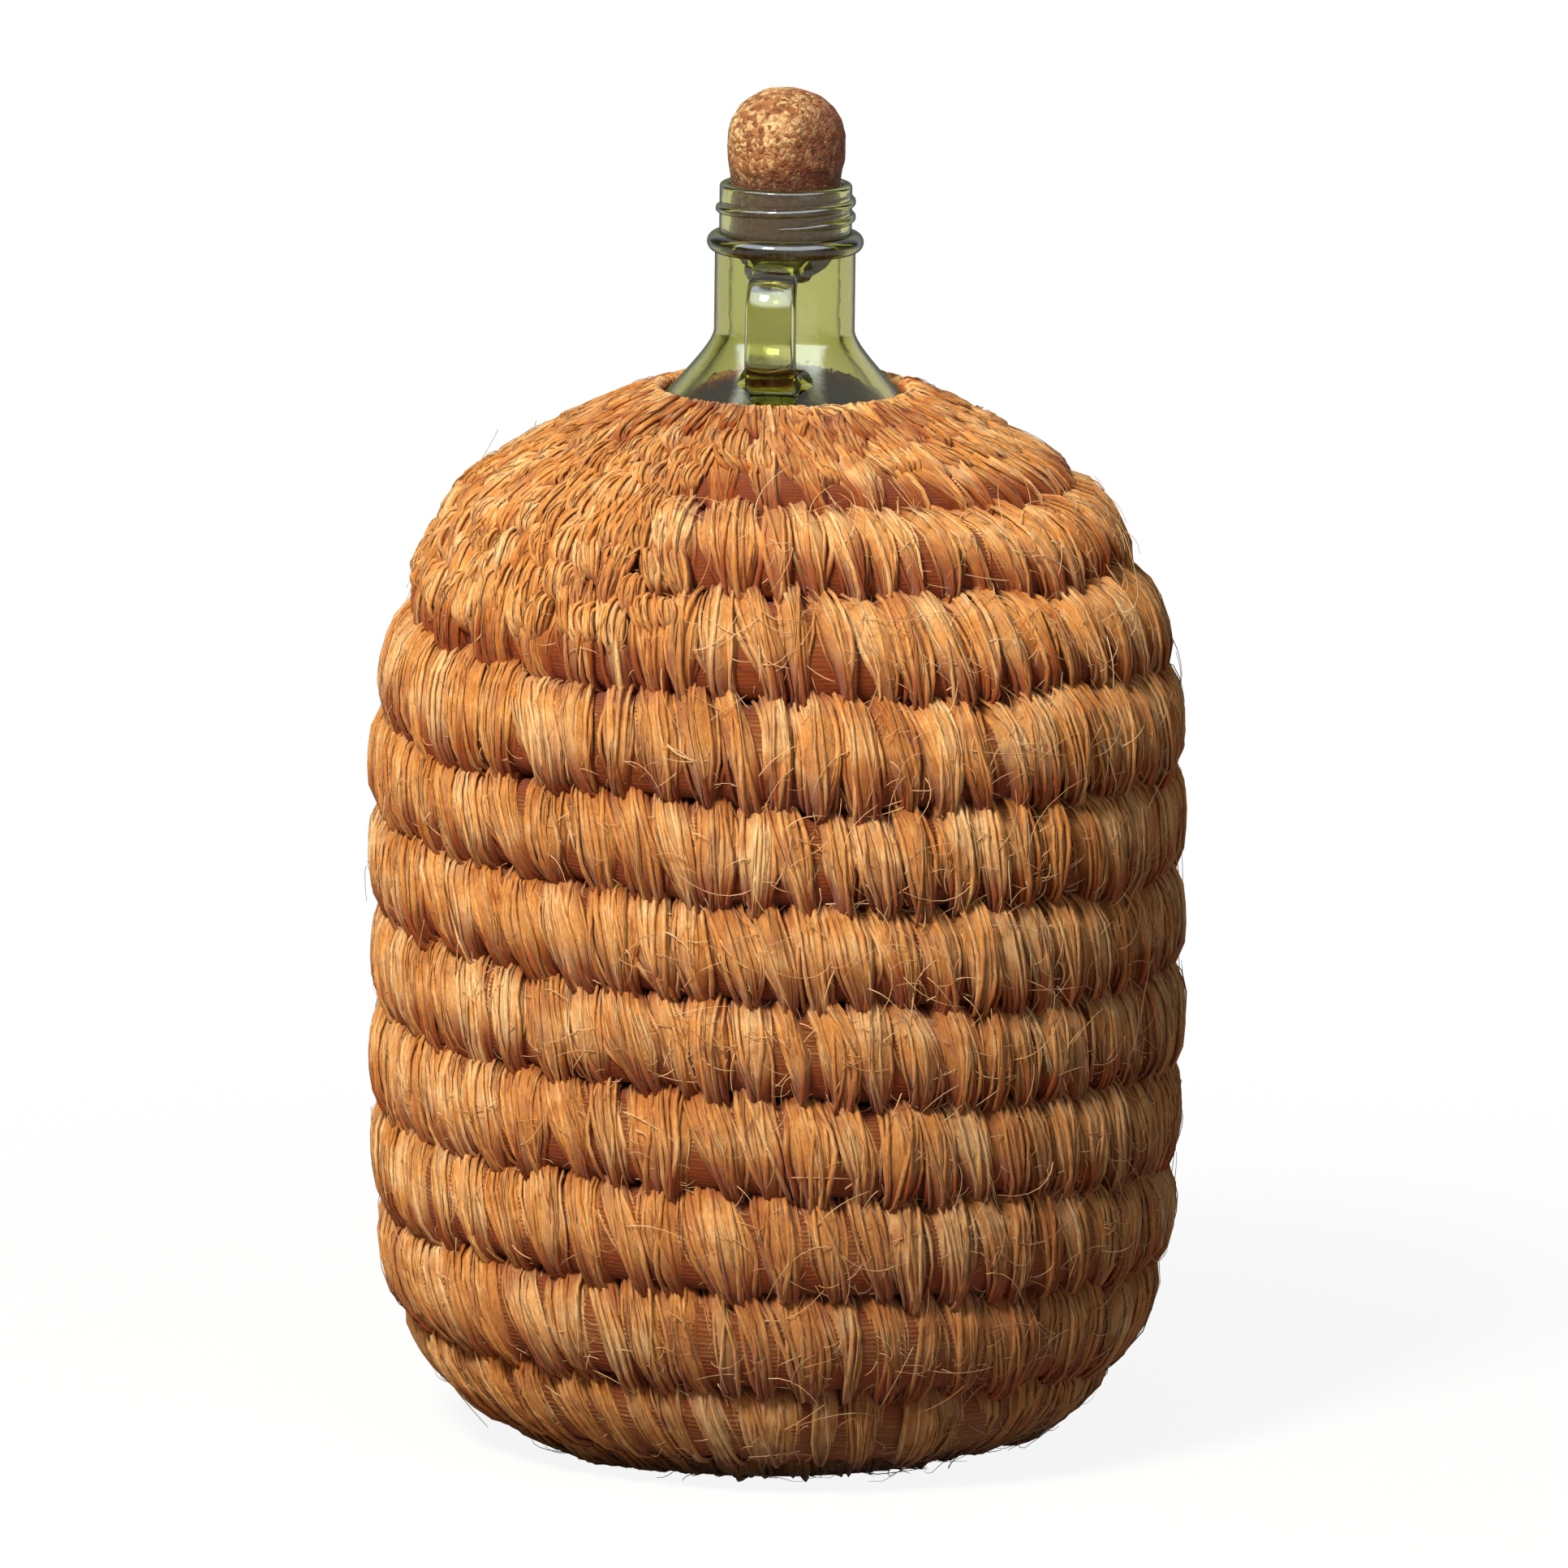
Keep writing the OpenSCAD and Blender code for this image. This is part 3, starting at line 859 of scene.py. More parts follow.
        keys = ("turn", "across", "half_width", "circle", "slant", "pinch_high", "pinch_low", "lift", "tint",
                "lobe_high", "lobe_low", "bow", "crown", "arch")
        return dict(zip(keys, np.array(rows).T))

    def _reaches(self, turn: np.ndarray) -> tuple[np.ndarray, np.ndarray, np.ndarray, np.ndarray]:
        """Gives how far up and down the outline a wrap reaches from the rope's middle.

        The last row is thin where it ends. There the row below is wrapped together with it, up to the collar.

        Args:
            turn: The turns at which the wraps lie.

        Returns:
            The reach up, the reach down, which wraps go up to the collar, and which wraps there are.
        """
        here, above = self.path.at(turn), self.path.at(turn + 1)
        top = turn + 1 > self.path.turns
        merged = top | (2 * above.half_row < self.merged_row)
        kept = ~(top & (2 * here.half_row < self.merged_row))
        up = np.where(merged, self.path.collar_way + 0.6 * MM - here.way, here.half_row)
        return up, here.half_row, merged, kept

    def _laid(self, way: np.ndarray, level: np.ndarray, azimuth: np.ndarray, proud: np.ndarray, radii: np.ndarray,
              strand: np.ndarray, depth: np.ndarray, turn: np.ndarray) -> Wraps:
        """Lays yarns at places in the jacket, kept above the ground."""
        middles = self.path.point(way, level, azimuth, proud)
        outward = self.path.point(way, level, azimuth, proud + MM) - middles
        outward /= np.linalg.norm(outward, axis=2, keepdims=True)
        middles[..., 2] = np.maximum(middles[..., 2], radii + 0.05 * MM)
        return Wraps(middles, outward, radii, strand, np.clip(depth, 0, 1), turn)

    def _form(self, b: dict[str, np.ndarray], t: np.ndarray, across: np.ndarray) -> dict[str, np.ndarray]:
        """Gives the form that a bundle's yarns share.

        Args:
            b: What each bundle shares, in a shape that broadcasts with the other two.
            t: The place along the bundle, from 1 in its upper crevice to -1 in its lower one.
            across: The place across the bundle, from -1 to 1.

        Returns:
            The form's way, level, rise, angle, high, low, side, proud and depth, which marks painted shade.
        """
        merged = b["merged"] > 0.5
        angle = np.radians(np.where((t > 0) & merged, 150.0, 114.0) * t)
        middle = 1 - across ** 2
        full = self.edge_fullness + (self.middle_fullness - self.edge_fullness) * middle
        level, rise = self._around(angle, np.where(merged & (t > 0), 9.0, full))
        high, low = np.clip(np.sin(angle), 0, 1), np.clip(-np.sin(angle), 0, 1)
        spread = 1 - np.where(merged, 0.0, b["pinch_high"]) * high ** 2 - b["pinch_low"] * low ** 1.25
        side = across * b["half_width"] * spread + b["bow"] * np.cos(angle) ** 2
        side = side + b["slant"] * 9 * MM * np.sin(angle) + b["arch"] * high ** 2.5
        ratio = np.clip(b["down"] / (self.path.row / 2), 0.3, 1)
        up = b["up"] + np.where(merged, 0.0, middle * b["lobe_high"] * ratio)
        down = b["down"] + (middle * b["lobe_low"] - 0.4 * MM) * ratio
        way = np.minimum(b["way"] + np.where(rise > 0, up, down) * rise, self.path.collar_way + 0.6 * MM)
        proud = b["lift"] + self.crown * (middle * b["crown"] - self.sunk)
        taper = np.where(merged, np.clip((1 - rise) * 3, 0.2, 1), 1.0)
        # Depth marks painted shade: lower near the upper crevice, much lower under the row where it turns down, lower
        # at a bundle's edges low down, and in the merged rows lower towards the glass.
        under = np.clip(-rise, 0, 1) * np.where(level > 0, 1, 1.6)
        depth = 1 - 0.75 * np.clip((rise - 0.45) / 0.55, 0, 1) ** 1.5 - 0.76 * (1 - np.exp(-under / 0.28))
        depth = depth - 0.55 * np.abs(across) ** 3 * (0.2 + low)
        depth = np.where(merged & (rise > 0), (level + 0.6) / 0.8, depth)
        return {"way": way, "level": level, "rise": rise, "angle": angle, "high": high, "low": low, "side": side,
                "proud": proud, "taper": taper, "depth": depth}

    def _shared(self, rng: np.random.Generator) -> dict[str, np.ndarray]:
        """Lays the bundles' yarns out, with how far each reaches, and leaves out those past the rope's end."""
        bundles = self._bundles(rng)
        up, down, merged, kept = self._reaches(bundles["turn"])
        bundles.update(up=up, down=down, merged=merged.astype(float), way=self.path.at(bundles["turn"]).way)
        return {key: value[kept] for key, value in bundles.items()}

    def _wraps(self, rng: np.random.Generator, bundles: dict[str, np.ndarray]) -> Wraps:
        """Wraps the rope with yarns, over its outer side from crevice to crevice.

        Args:
            rng: The source of chance.
            bundles: The yarns' places and what their bundles share.

        Returns:
            The yarns.
        """
        b = {key: value[:, None] for key, value in bundles.items()}
        count = len(b["up"])
        merged = b["merged"] > 0.5
        form = self._form(b, np.linspace(1, -1, self.wrap_rings)[None], b["across"])
        angle, rise = form["angle"], form["rise"]
        stray = np.where(rng.uniform(0, 1, (count, 1)) < 0.2, 3.5, 1.0)
        wave = np.sin(angle * rng.uniform(1.5, 3.5, (count, 1)) + rng.uniform(0, TURN, (count, 1)))
        side = form["side"] + rng.normal(0, 0.7 * MM, (count, 1)) * np.cos(angle) ** 2 + 0.6 * MM * wave
        side = side + rng.normal(0, 0.09, (count, 1)) * stray ** 0.6 * 9 * MM * np.sin(angle)
        side = side + rng.normal(0, 0.26 * MM, (count, 1))
        loop = np.sin(angle * rng.uniform(3, 6, (count, 1)) + rng.uniform(0, TURN, (count, 1)))
        side = side + np.where(merged & (rise > 0), 1.3 * MM, 0.25 * MM) * loop
        azimuth = self.path.start_azimuth - TURN * b["turn"] - side / b["circle"]
        proud = form["proud"] + rng.normal(0, 0.25 * MM, (count, 1)) + 0.2 * MM * (stray - 1) - self.yarn_radius
        proud = proud * np.clip(form["level"], 0, 1) * form["taper"]
        radii = self.yarn_radius * rng.uniform(0.62, 1.35, (count, 1)) * (1 - 0.25 * np.abs(np.sin(angle)) ** 4)
        radii = radii * (1 + 0.12 * np.sin(angle * 5 + rng.uniform(0, TURN, (count, 1))))
        # Depth marks painted shade, and varies at random from yarn to yarn, more so low down.
        depth = form["depth"] + np.where(
            merged & (rise > 0), 0, rng.normal(0, 0.12, (count, 1)) * (1 + 1.3 * form["low"]))
        strand = 0.6 * b["tint"][:, 0] + 0.4 * rng.uniform(0, 1, count)
        return self._laid(form["way"], form["level"], azimuth, proud, radii, strand, depth, b["turn"][:, 0])

    def _pads(self, bundles: dict[str, np.ndarray]) -> tuple[Tubes, np.ndarray]:
        """Fills every bundle with one soft body under its yarns, whose finish goes on with their strands.

        Args:
            bundles: The yarns' places and what their bundles share.

        Returns:
            The bodies, and the turn at which each lies.
        """
        turn, first = np.unique(bundles["turn"], return_index=True)
        b = {key: value[first][:, None, None] for key, value in bundles.items()}
        across = np.concatenate([np.linspace(-1, 1, self.pad_front), [0.6, -0.6]])
        back = np.array([0.0] * self.pad_front + [self.pad_back] * 2)
        t = np.linspace(1, -1, self.pad_rings)[None, :, None]
        form = self._form(b, t, across[None, None])
        proud = form["proud"] - 1.1 * self.yarn_radius - back * np.clip(b["down"] / (self.path.row / 2), 0.2, 1)
        proud = proud * np.clip(form["level"], 0.25, 1) * form["taper"]
        azimuth = self.path.start_azimuth - TURN * b["turn"] - form["side"] / b["circle"]
        skin = self.path.point(form["way"], form["level"], azimuth, proud)
        skin[..., 2] = np.maximum(skin[..., 2], 0.6 * MM)
        strand = 0.6 * b["tint"] + 0.4 * (np.arange(len(across)) * 0.618 % 1)[None, None] + 0 * proud
        # Painted shade: the padding is a little darker than its yarns.
        depth = np.clip(form["depth"] - 0.06, 0, 1) + 0 * proud
        return Tubes(skin, strand, depth, 6), turn

    def _tuft_places(self, rng: np.random.Generator) -> dict[str, np.ndarray]:
        """Places short tufts over the seams where the rows run together: upper left, and round the collar.

        Args:
            rng: The source of chance.

        Returns:
            For every yarn, its place across its tuft and what its tuft shares.
        """
        first, last = self.path.shoulder_way + 43 * MM, self.path.collar_way - 6 * MM
        rows: list[tuple[float, ...]] = []
        for k, way in enumerate(np.arange(first, last, 7.5 * MM)):
            place = self.path.point(np.array(way), np.array(1.0), np.array(0.0), np.array(0.0))
            radius = float(place[0])
            step = 8.2 * MM / radius
            end = math.radians(155 if way > self.path.collar_way - 25 * MM else -100 - 12 * (k % 2))
            for azimuth in np.arange(math.radians(-205), end, step) + step / 2 * (k % 2):
                tuft = (azimuth + rng.normal(0, 0.15) * step, way + rng.normal(0, 1.3 * MM), radius,
                        rng.uniform(5.2, 8.2) * MM, rng.normal(0.2, 0.2), rng.uniform(0.35, 0.75),
                        rng.normal(0.8, 0.7) * MM, rng.uniform(0, 1))
                count = int(rng.integers(5, 8))
                rows += [(-1 + 2 * (j + 0.5) / count, *tuft) for j in range(count)]
        keys = ("across", "azimuth", "way", "radius", "reach", "slant", "pinch", "bow", "tint")
        return dict(zip(keys, np.array(rows).T))

    def _tuft_form(self, b: dict[str, np.ndarray], t: np.ndarray, across: np.ndarray) -> dict[str, np.ndarray]:
        """Gives the form that a tuft's yarns share.

        Args:
            b: What each tuft shares, in a shape that broadcasts with the other two.
            t: The place along the tuft, from 1 at its upper end to -1 at its lower one.
            across: The place across the tuft, from -1 to 1.

        Returns:
            The form's way, level, side, proud and depth, which marks painted shade.
        """
        high, low = np.clip(t, 0, 1), np.clip(-t, 0, 1)
        side = across * 4.3 * MM * (1 - b["pinch"] * low ** 2 - 0.25 * high ** 2) + b["slant"] * 6 * MM * t
        way = b["way"] + t * b["reach"] + 0 * across
        # Depth marks painted shade: lower at the tuft's lower end, its upper end and its edges, and much lower near the
        # collar.
        depth = 1.05 - 0.8 * low ** 1.5 - 0.45 * high ** 3 - 0.3 * np.abs(across) ** 3
        near = np.clip(1 - (self.path.collar_way - way) / (30 * MM), 0, 1)
        return {"way": way, "level": 1 - 0.5 * np.abs(t) ** 5 + 0 * way, "side": side + b["bow"] * (1 - t * t),
                "proud": (1 - across ** 2) * 2.2 * MM - 1.7 * MM + 0 * way, "depth": depth - near * (0.35 + 0.5 * b["tint"])}

    def _tufts(self, rng: np.random.Generator) -> tuple[Wraps, Tubes]:
        """Lays short curled tufts over the seams where the rows run together.

        Args:
            rng: The source of chance.

        Returns:
            Their yarns, and one soft body under the yarns of each.
        """
        places = self._tuft_places(rng)
        b = {key: value[:, None] for key, value in places.items()}
        count = len(b["way"])
        t = np.linspace(1, -1, self.tuft_rings)[None]
        form = self._tuft_form(b, t, b["across"])
        side = form["side"] + rng.normal(0, 0.5 * MM, (count, 1)) * (1 - t * t) + rng.normal(0, 0.4 * MM, (count, 1))
        way = np.minimum(form["way"] + t * rng.normal(0, 0.9 * MM, (count, 1)), self.path.collar_way + 0.4 * MM)
        proud = form["proud"] + rng.normal(0, 0.3 * MM, (count, 1))
        radii = self.yarn_radius * rng.uniform(0.75, 1.35, (count, 1)) * (1 - 0.3 * np.abs(t) ** 4)
        strand = 0.5 * b["tint"][:, 0] + 0.5 * rng.uniform(0, 1, count)
        yarns = self._laid(way, form["level"], b["azimuth"] - side / b["radius"], proud, radii, strand,
                           form["depth"], np.full(count, self.path.turns - 1.0))
        first = np.unique(places["azimuth"], return_index=True)[1]
        b = {key: value[first][:, None, None] for key, value in places.items()}
        across = np.concatenate([np.linspace(-1.1, 1.1, self.pad_front), [0.6, -0.6]])
        back = np.array([0.0] * self.pad_front + [2.0 * MM] * 2)
        form = self._tuft_form(b, np.linspace(1.1, -1.1, self.tuft_rings)[None, :, None], across[None, None])
        way = np.minimum(form["way"], self.path.collar_way + 0.2 * MM)
        proud = form["proud"] - 0.8 * self.yarn_radius - back * np.clip((self.path.collar_way - way) / (25 * MM), 0.15, 1)
        skin = self.path.point(way, form["level"], b["azimuth"] - form["side"] / b["radius"], proud)
        strand = 0.5 * b["tint"] + 0.5 * (np.arange(len(across)) * 0.618 % 1)[None, None] + 0 * proud
        # Painted shade: the tufts' padding is a little darker than their yarns.
        return yarns, Tubes(skin, strand, np.clip(form["depth"] - 0.06, 0, 1), 6)

    def _spots(self, rng: np.random.Generator, count: int, hairy: float) -> np.ndarray:
        """Picks turns for hairs, evenly over the jacket's area but more on its hairier side.

        Args:
            rng: The source of chance.
            count: The number of hairs.
            hairy: How much hairier that side is, from 0 to 1.

        Returns:
            The turns.
        """
        turn = rng.uniform(1.5, self.path.turns - 1.8, count * 8)
        circle = self.path.circle(turn) / (112 * MM)
        azimuth = self.path.at(turn).azimuth
        side = np.clip(np.cos(azimuth - math.radians(-50)), 0, 1) ** 2 * np.clip(1.6 - turn / self.path.turns, 0, 1)
        keep = rng.uniform(0, 1, len(turn)) < circle * (1 - hairy * (1 - side))
        return turn[keep][:count]

    def _hairs(self, rng: np.random.Generator, count: int, length: tuple[float, float], radius: float,
               lift: tuple[float, float], hairy: float) -> Tubes:
        """Grows loose hairs out of the wrapping.

        Args:
            rng: The source of chance.
            count: The number of hairs.
            length: The shortest and the longest length.
            radius: The radius of a hair at its root.
            lift: How steeply they leave the surface, from 0 to 1, at least and at most.
            hairy: How much hairier the hairy side is.

        Returns:
            The hairs.
        """
        turn = self._spots(rng, count, hairy)
        count = len(turn)
        rings = 7
        level, rise = self._around(rng.uniform(-1.1, 1.1, count), self.fullness)
        here = self.path.at(turn)
        way = here.way + here.half_row * 0.96 * rise
        base = self.path.point(way, level, here.azimuth, np.full(count, -0.4 * MM))
        normal = self.path.point(way, level, here.azimuth, np.full(count, 9 * MM)) - base
        normal /= np.linalg.norm(normal, axis=1, keepdims=True)
        aim = rng.normal(0, 1, (count, 3))
        aim -= (aim * normal).sum(1, keepdims=True) * normal
        aim /= np.linalg.norm(aim, axis=1, keepdims=True)
        curl = np.cross(normal, aim)
        size = (length[0] + (length[1] - length[0]) * rng.uniform(0, 1, count) ** 1.8)[:, None, None]
        t = np.linspace(0, 1, rings)[None, :, None]
        rise = rng.uniform(*lift, count)[:, None, None] * np.sin(t * 2.9)
        bend = rng.normal(0, 0.6, count)[:, None, None]
        points = base[:, None] + size * (
            aim[:, None] * (t - 0.3 * bend * bend * t ** 3) + normal[:, None] * rise + curl[:, None] * bend * t * t)
        points[..., 2] = np.maximum(points[..., 2], 2 * radius)
        radii = radius * rng.uniform(0.7, 1.2, (count, 1)) * (1 - 0.55 * t[..., 0])
        return Tubes.along(points, radii, rng.uniform(0.4, 1.0, count), np.ones((count, rings)), 3)

    def build(self) -> list[bpy.types.Object]:
        """Makes the jacket's pieces, dresses them and sets them on the jug.

        Returns:
            The pieces.
        """
        rng = np.random.default_rng(self.seed)
        wrap_finish = JuteFinish("jute_wrap").material()
        # The core takes a darker copy of the jute: painted shade for the core that shows between the bundles.
        core_finish = JuteFinish("jute_core_painted_shade", straw="D8A468", gold="A86C34").material()
        hair_finish = JuteFinish("jute_hair", straw="F4D6A8", gold="E2AE72", rust_and_shade="C08650", rose="D0A070",
                                 relief=0.05 * MM).material()
        bundles = self._shared(rng)
        wraps = self._wraps(rng, bundles)
        tufts, tuft_pads = self._tufts(rng)
        tubes = wraps.tubes(self.wrap_sides)
        pads, pad_turn = self._pads(bundles)
        cuts = [0.0, *self.path.splices(), self.path.turns]
        made = []
        for length, first, last in zip(Length, cuts, cuts[1:]):
            name = length.value.replace("_coil", "")
            pieces = self._core(first, last).pieces(f"{name}_core")
            for piece in pieces:
                made.append(self._dress(piece, core_finish))
            wrapping = tubes.pieces(f"{name}_wrapping", (wraps.turn >= first) & (wraps.turn < last))
            wrapping += pads.pieces(f"{name}_padding", (pad_turn >= first) & (pad_turn < last))
            for piece in wrapping:
                made.append(self._dress(piece, wrap_finish))
            for piece in pieces + wrapping:
                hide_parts(length.value)
        fine = wraps.fibres(rng, 14000).pieces("spun_fibres") + tufts.fibres(rng, 2500).pieces("tuft_fibres")
        fine += tuft_pads.pieces("tuft_padding")
        for piece in tufts.tubes(self.wrap_sides).pieces("tufts") + fine:
            made.append(self._dress(piece, wrap_finish))
        hairs = self._hairs(rng, 1400, (5 * MM, 20 * MM), 0.19 * MM, (0.02, 0.09), 0.9).pieces("loose_fibres")
        fuzz = self._hairs(rng, 3000, (2.5 * MM, 8 * MM), 0.12 * MM, (0.05, 0.22), 0.3).pieces("fuzz")
        for piece in hairs + fuzz:
            made.append(self._dress(piece, hair_finish))
        return made

    @staticmethod
    def _dress(piece: bpy.types.Object, finish: bpy.types.Material) -> bpy.types.Object:
        """Gives a piece its finish and its body."""
        piece.data.materials.append(finish)
        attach(piece, Body.JUG.value)
        return piece


def lathe(name: str, line: Sequence[tuple[float, float]], steps: int) -> bpy.types.Object:
    """Turns a half section round the jug's axis.

    Args:
        name: The object's name.
        line: The points of the section, as radius and height, from the axis to the axis.
        steps: The number of steps in the turn.

    Returns:
        The object, closed and with its faces outwards.
    """
    bpy.ops.object.select_all(action="DESELECT")
    bpy.ops.mesh.primitive_plane_add(size=MM, location=(line[0][0], 0, line[0][1]))
    made = bpy.context.object
    made.name = name
    bpy.ops.object.transform_apply(location=True, rotation=True, scale=True)
    bpy.ops.object.mode_set(mode="EDIT")
    bpy.ops.mesh.select_all(action="SELECT")
    bpy.ops.mesh.merge(type="CENTER")
    for before, after in zip(line, line[1:]):
        step = (after[0] - before[0], 0, after[1] - before[1])
        bpy.ops.mesh.extrude_region_move(TRANSFORM_OT_translate={"value": step})
    bpy.ops.mesh.select_all(action="SELECT")
    bpy.ops.mesh.spin(steps=steps, angle=TURN, center=(0, 0, 0), axis=(0, 0, 1))
    bpy.ops.mesh.select_all(action="SELECT")
    bpy.ops.mesh.remove_doubles(threshold=0.02 * MM)
    bpy.ops.mesh.normals_make_consistent(inside=False)
    bpy.ops.object.mode_set(mode="OBJECT")
    return made


def sweep(name: str, points: Sequence[Sequence[float]], scales: Sequence[float], half: float, flat: float,
          axis: str) -> bpy.types.Object:
    """Sweeps a round-ended section along an open line that bends round one axis only.

    Args:
        name: The object's name.
        points: The line.
        scales: The section's scale at each point.
        half: The radius of the section's ends.
        flat: Half the length of its flat middle, or 0 for a round section.
        axis: The axis that the line bends round, X or Z.

    Returns:
        The object, closed at both ends.
    """
    line = np.array(points)
    run = np.gradient(line, axis=0)
    first, second = {"X": (1, 2), "Z": (0, 1)}[axis]
    heading = np.unwrap(np.arctan2(run[:, second], run[:, first]))
    bpy.ops.object.select_all(action="DESELECT")
    bpy.ops.mesh.primitive_circle_add(vertices=16, radius=half, fill_type="NGON", location=line[0])
    made = bpy.context.object
    made.name = name
    facing = Vector((0, 0, 1)).rotation_difference(Vector(run[0])) if axis == "Z" else (
        Matrix.Rotation(heading[0] - math.pi / 2, 3, "X").to_quaternion())
    made.rotation_mode = "QUATERNION"
    for vertex in made.data.vertices:
        side = flat * (abs(vertex.co.x) > 0.1 * half) * math.copysign(1, vertex.co.x)
        vertex.co = Vector(((vertex.co.x + side) * scales[0], vertex.co.y * scales[0], 0))
    made.rotation_quaternion = facing
    bpy.ops.object.transform_apply(location=True, rotation=True, scale=True)
    bpy.ops.object.mode_set(mode="EDIT")
    bpy.ops.mesh.select_all(action="SELECT")
    for k in range(1, len(line)):
        bpy.ops.mesh.extrude_region_move(TRANSFORM_OT_translate={"value": line[k] - line[k - 1]})
        bpy.ops.transform.rotate(
            value=heading[k - 1] - heading[k], orient_axis=axis, orient_type="GLOBAL", center_override=line[k])
        size = scales[k] / scales[k - 1]
        bpy.ops.transform.resize(value=(size, size, size), center_override=line[k])
    bpy.ops.mesh.select_all(action="SELECT")
    bpy.ops.mesh.normals_make_consistent(inside=False)
    bpy.ops.object.mode_set(mode="OBJECT")
    return made


@dataclass
class GlassJug:
    """The moulded glass, with its thread, bead and finger ring."""

    outline: GlassOutline = field(default_factory=GlassOutline)
    lip_height: float = 347.7 * MM
    lip_round: float = 1.1 * MM
    finish_radius: float = 18.1 * MM
    bead_radius: float = 21.4 * MM
    bead_half: float = 2.7 * MM
    bead_drop: float = 16.2 * MM
    punt: float = 9 * MM
    thread_drop: float = 4 * MM
    thread_pitch: float = 4.23 * MM
    thread_turns: float = 1.5
    thread_half: float = 1.35 * MM
    thread_sink: float = 0.25 * MM
    ring_width: float = 15 * MM
    ring_thickness: float = 6 * MM
    ring_reach: float = 21.5 * MM
    ring_bend: float = 10 * MM
    ring_drop: float = 21.5 * MM
    ring_height: float = 30 * MM
    round_steps: int = 144
    smooth_angle: float = math.radians(38)

    def _section(self) -> Outline:
        """Gives the glass's closed half section: up its outside, over its lip and down its inside."""
        o = self.outline
        bead = (self.bead_radius - self.bead_half, self.lip_height - self.bead_drop)
        lower = -math.degrees(math.acos((o.neck_radius - bead[0]) / self.bead_half))
        upper = math.degrees(math.acos((self.finish_radius - bead[0]) / self.bead_half))
        foot = o.flat_radius - o.floor
        spread = (foot * foot + self.punt * self.punt) / (2 * self.punt)
        swing = math.degrees(math.asin(foot / spread))
        under = arc((0.0, o.base_height + self.punt - spread), (spread, spread), 90, 90 - swing, 8)
        over = [(r, z + o.floor) for r, z in reversed(under)]
        lip = self.lip_height - self.lip_round
        edge = (self.lip_round, self.lip_round)
        outside = [tuple(p) for p in np.concatenate([o.heel(), o.shoulder()[1:]])]
        inside = [tuple(p) for p in np.concatenate([o.heel(o.wall, o.floor), o.shoulder(o.wall, o.bore_radius)[1:]])]
        return [
            *under, *outside,
            *arc(bead, (self.bead_half, self.bead_half), lower, upper, 14),
            *arc((self.finish_radius - self.lip_round, lip), edge, 0, 90, 6),
            *arc((o.bore_radius + self.lip_round, lip), edge, 90, 180, 6),
            *reversed(inside), *over]

    def _thread(self) -> bpy.types.Object:
        """Makes the screw thread, a ridge that fades at both ends."""
        steps = round(self.thread_turns * 36)
        points, scales = [], []
        for i in range(steps + 1):
            angle = math.radians(90 - 10 * i)
            radius = self.finish_radius - self.thread_sink
            height = self.lip_height - self.thread_drop - self.thread_pitch * i / 36
            points.append((radius * math.cos(angle), radius * math.sin(angle), height))
            scales.append(0.25 + 0.75 * min(1, i / 5, (steps - i) / 5))
        return sweep("thread", points, scales, self.thread_half, 0.0, "Z")

    def _ring(self) -> bpy.types.Object:
        """Makes the finger ring, a strap whose ends widen into the neck."""
        neck = self.outline.neck_radius
        top = self.lip_height - self.ring_drop
        foot = top - self.ring_height
        reach = neck + self.ring_reach - self.ring_thickness / 2
        turn = reach - self.ring_bend
        bend = (self.ring_bend, self.ring_bend)
        low = self.outline.radius_at(foot)
        sunk = 1.8 * MM
        line = [(neck - sunk, top), (neck + 0.4 * MM, top), (neck + 2 * MM, top)]
        line += arc((turn, top - self.ring_bend), bend, 90, 0, 10) + arc((turn, foot + self.ring_bend), bend, 0, -90, 10)
        line += [(low + 2.5 * MM, foot), (low + 0.6 * MM, foot), (low - sunk, foot)]
        count = len(line)
        scales = [0.86 + 0.14 * i / (count - 1) for i in range(count)]
        for k, more in ((0, 0.4), (1, 0.14), (2, 0.02)):
            scales[k] += more
            scales[-1 - k] += more
        half, straight = self.ring_thickness / 2, (self.ring_width - self.ring_thickness) / 2
        return sweep("ring", [(0.0, -r, z) for r, z in line], scales, half, straight, "X")

    def build(self) -> list[bpy.types.Object]:
        """Makes the glass in one piece and sets it on the jug.

        Returns:
            The piece.
        """
        piece = lathe("moulded_glass", self._section(), self.round_steps)
        for part in (self._thread(), self._ring()):
            join = piece.modifiers.new("join", "BOOLEAN")
            join.operation = "UNION"
            join.solver = "MANIFOLD"
            join.object = part
            bpy.ops.object.select_all(action="DESELECT")
            piece.select_set(True)
            bpy.context.view_layer.objects.active = piece
            bpy.ops.object.modifier_apply(modifier="join")
            bpy.data.objects.remove(part)
        bpy.ops.object.shade_smooth_by_angle(angle=self.smooth_angle)
        piece.data.materials.clear()
        piece.data.materials.append(GlassFinish().material())
        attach(piece, Body.JUG.value)
        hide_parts("glass_jug", "glass_neck")
        return [piece]


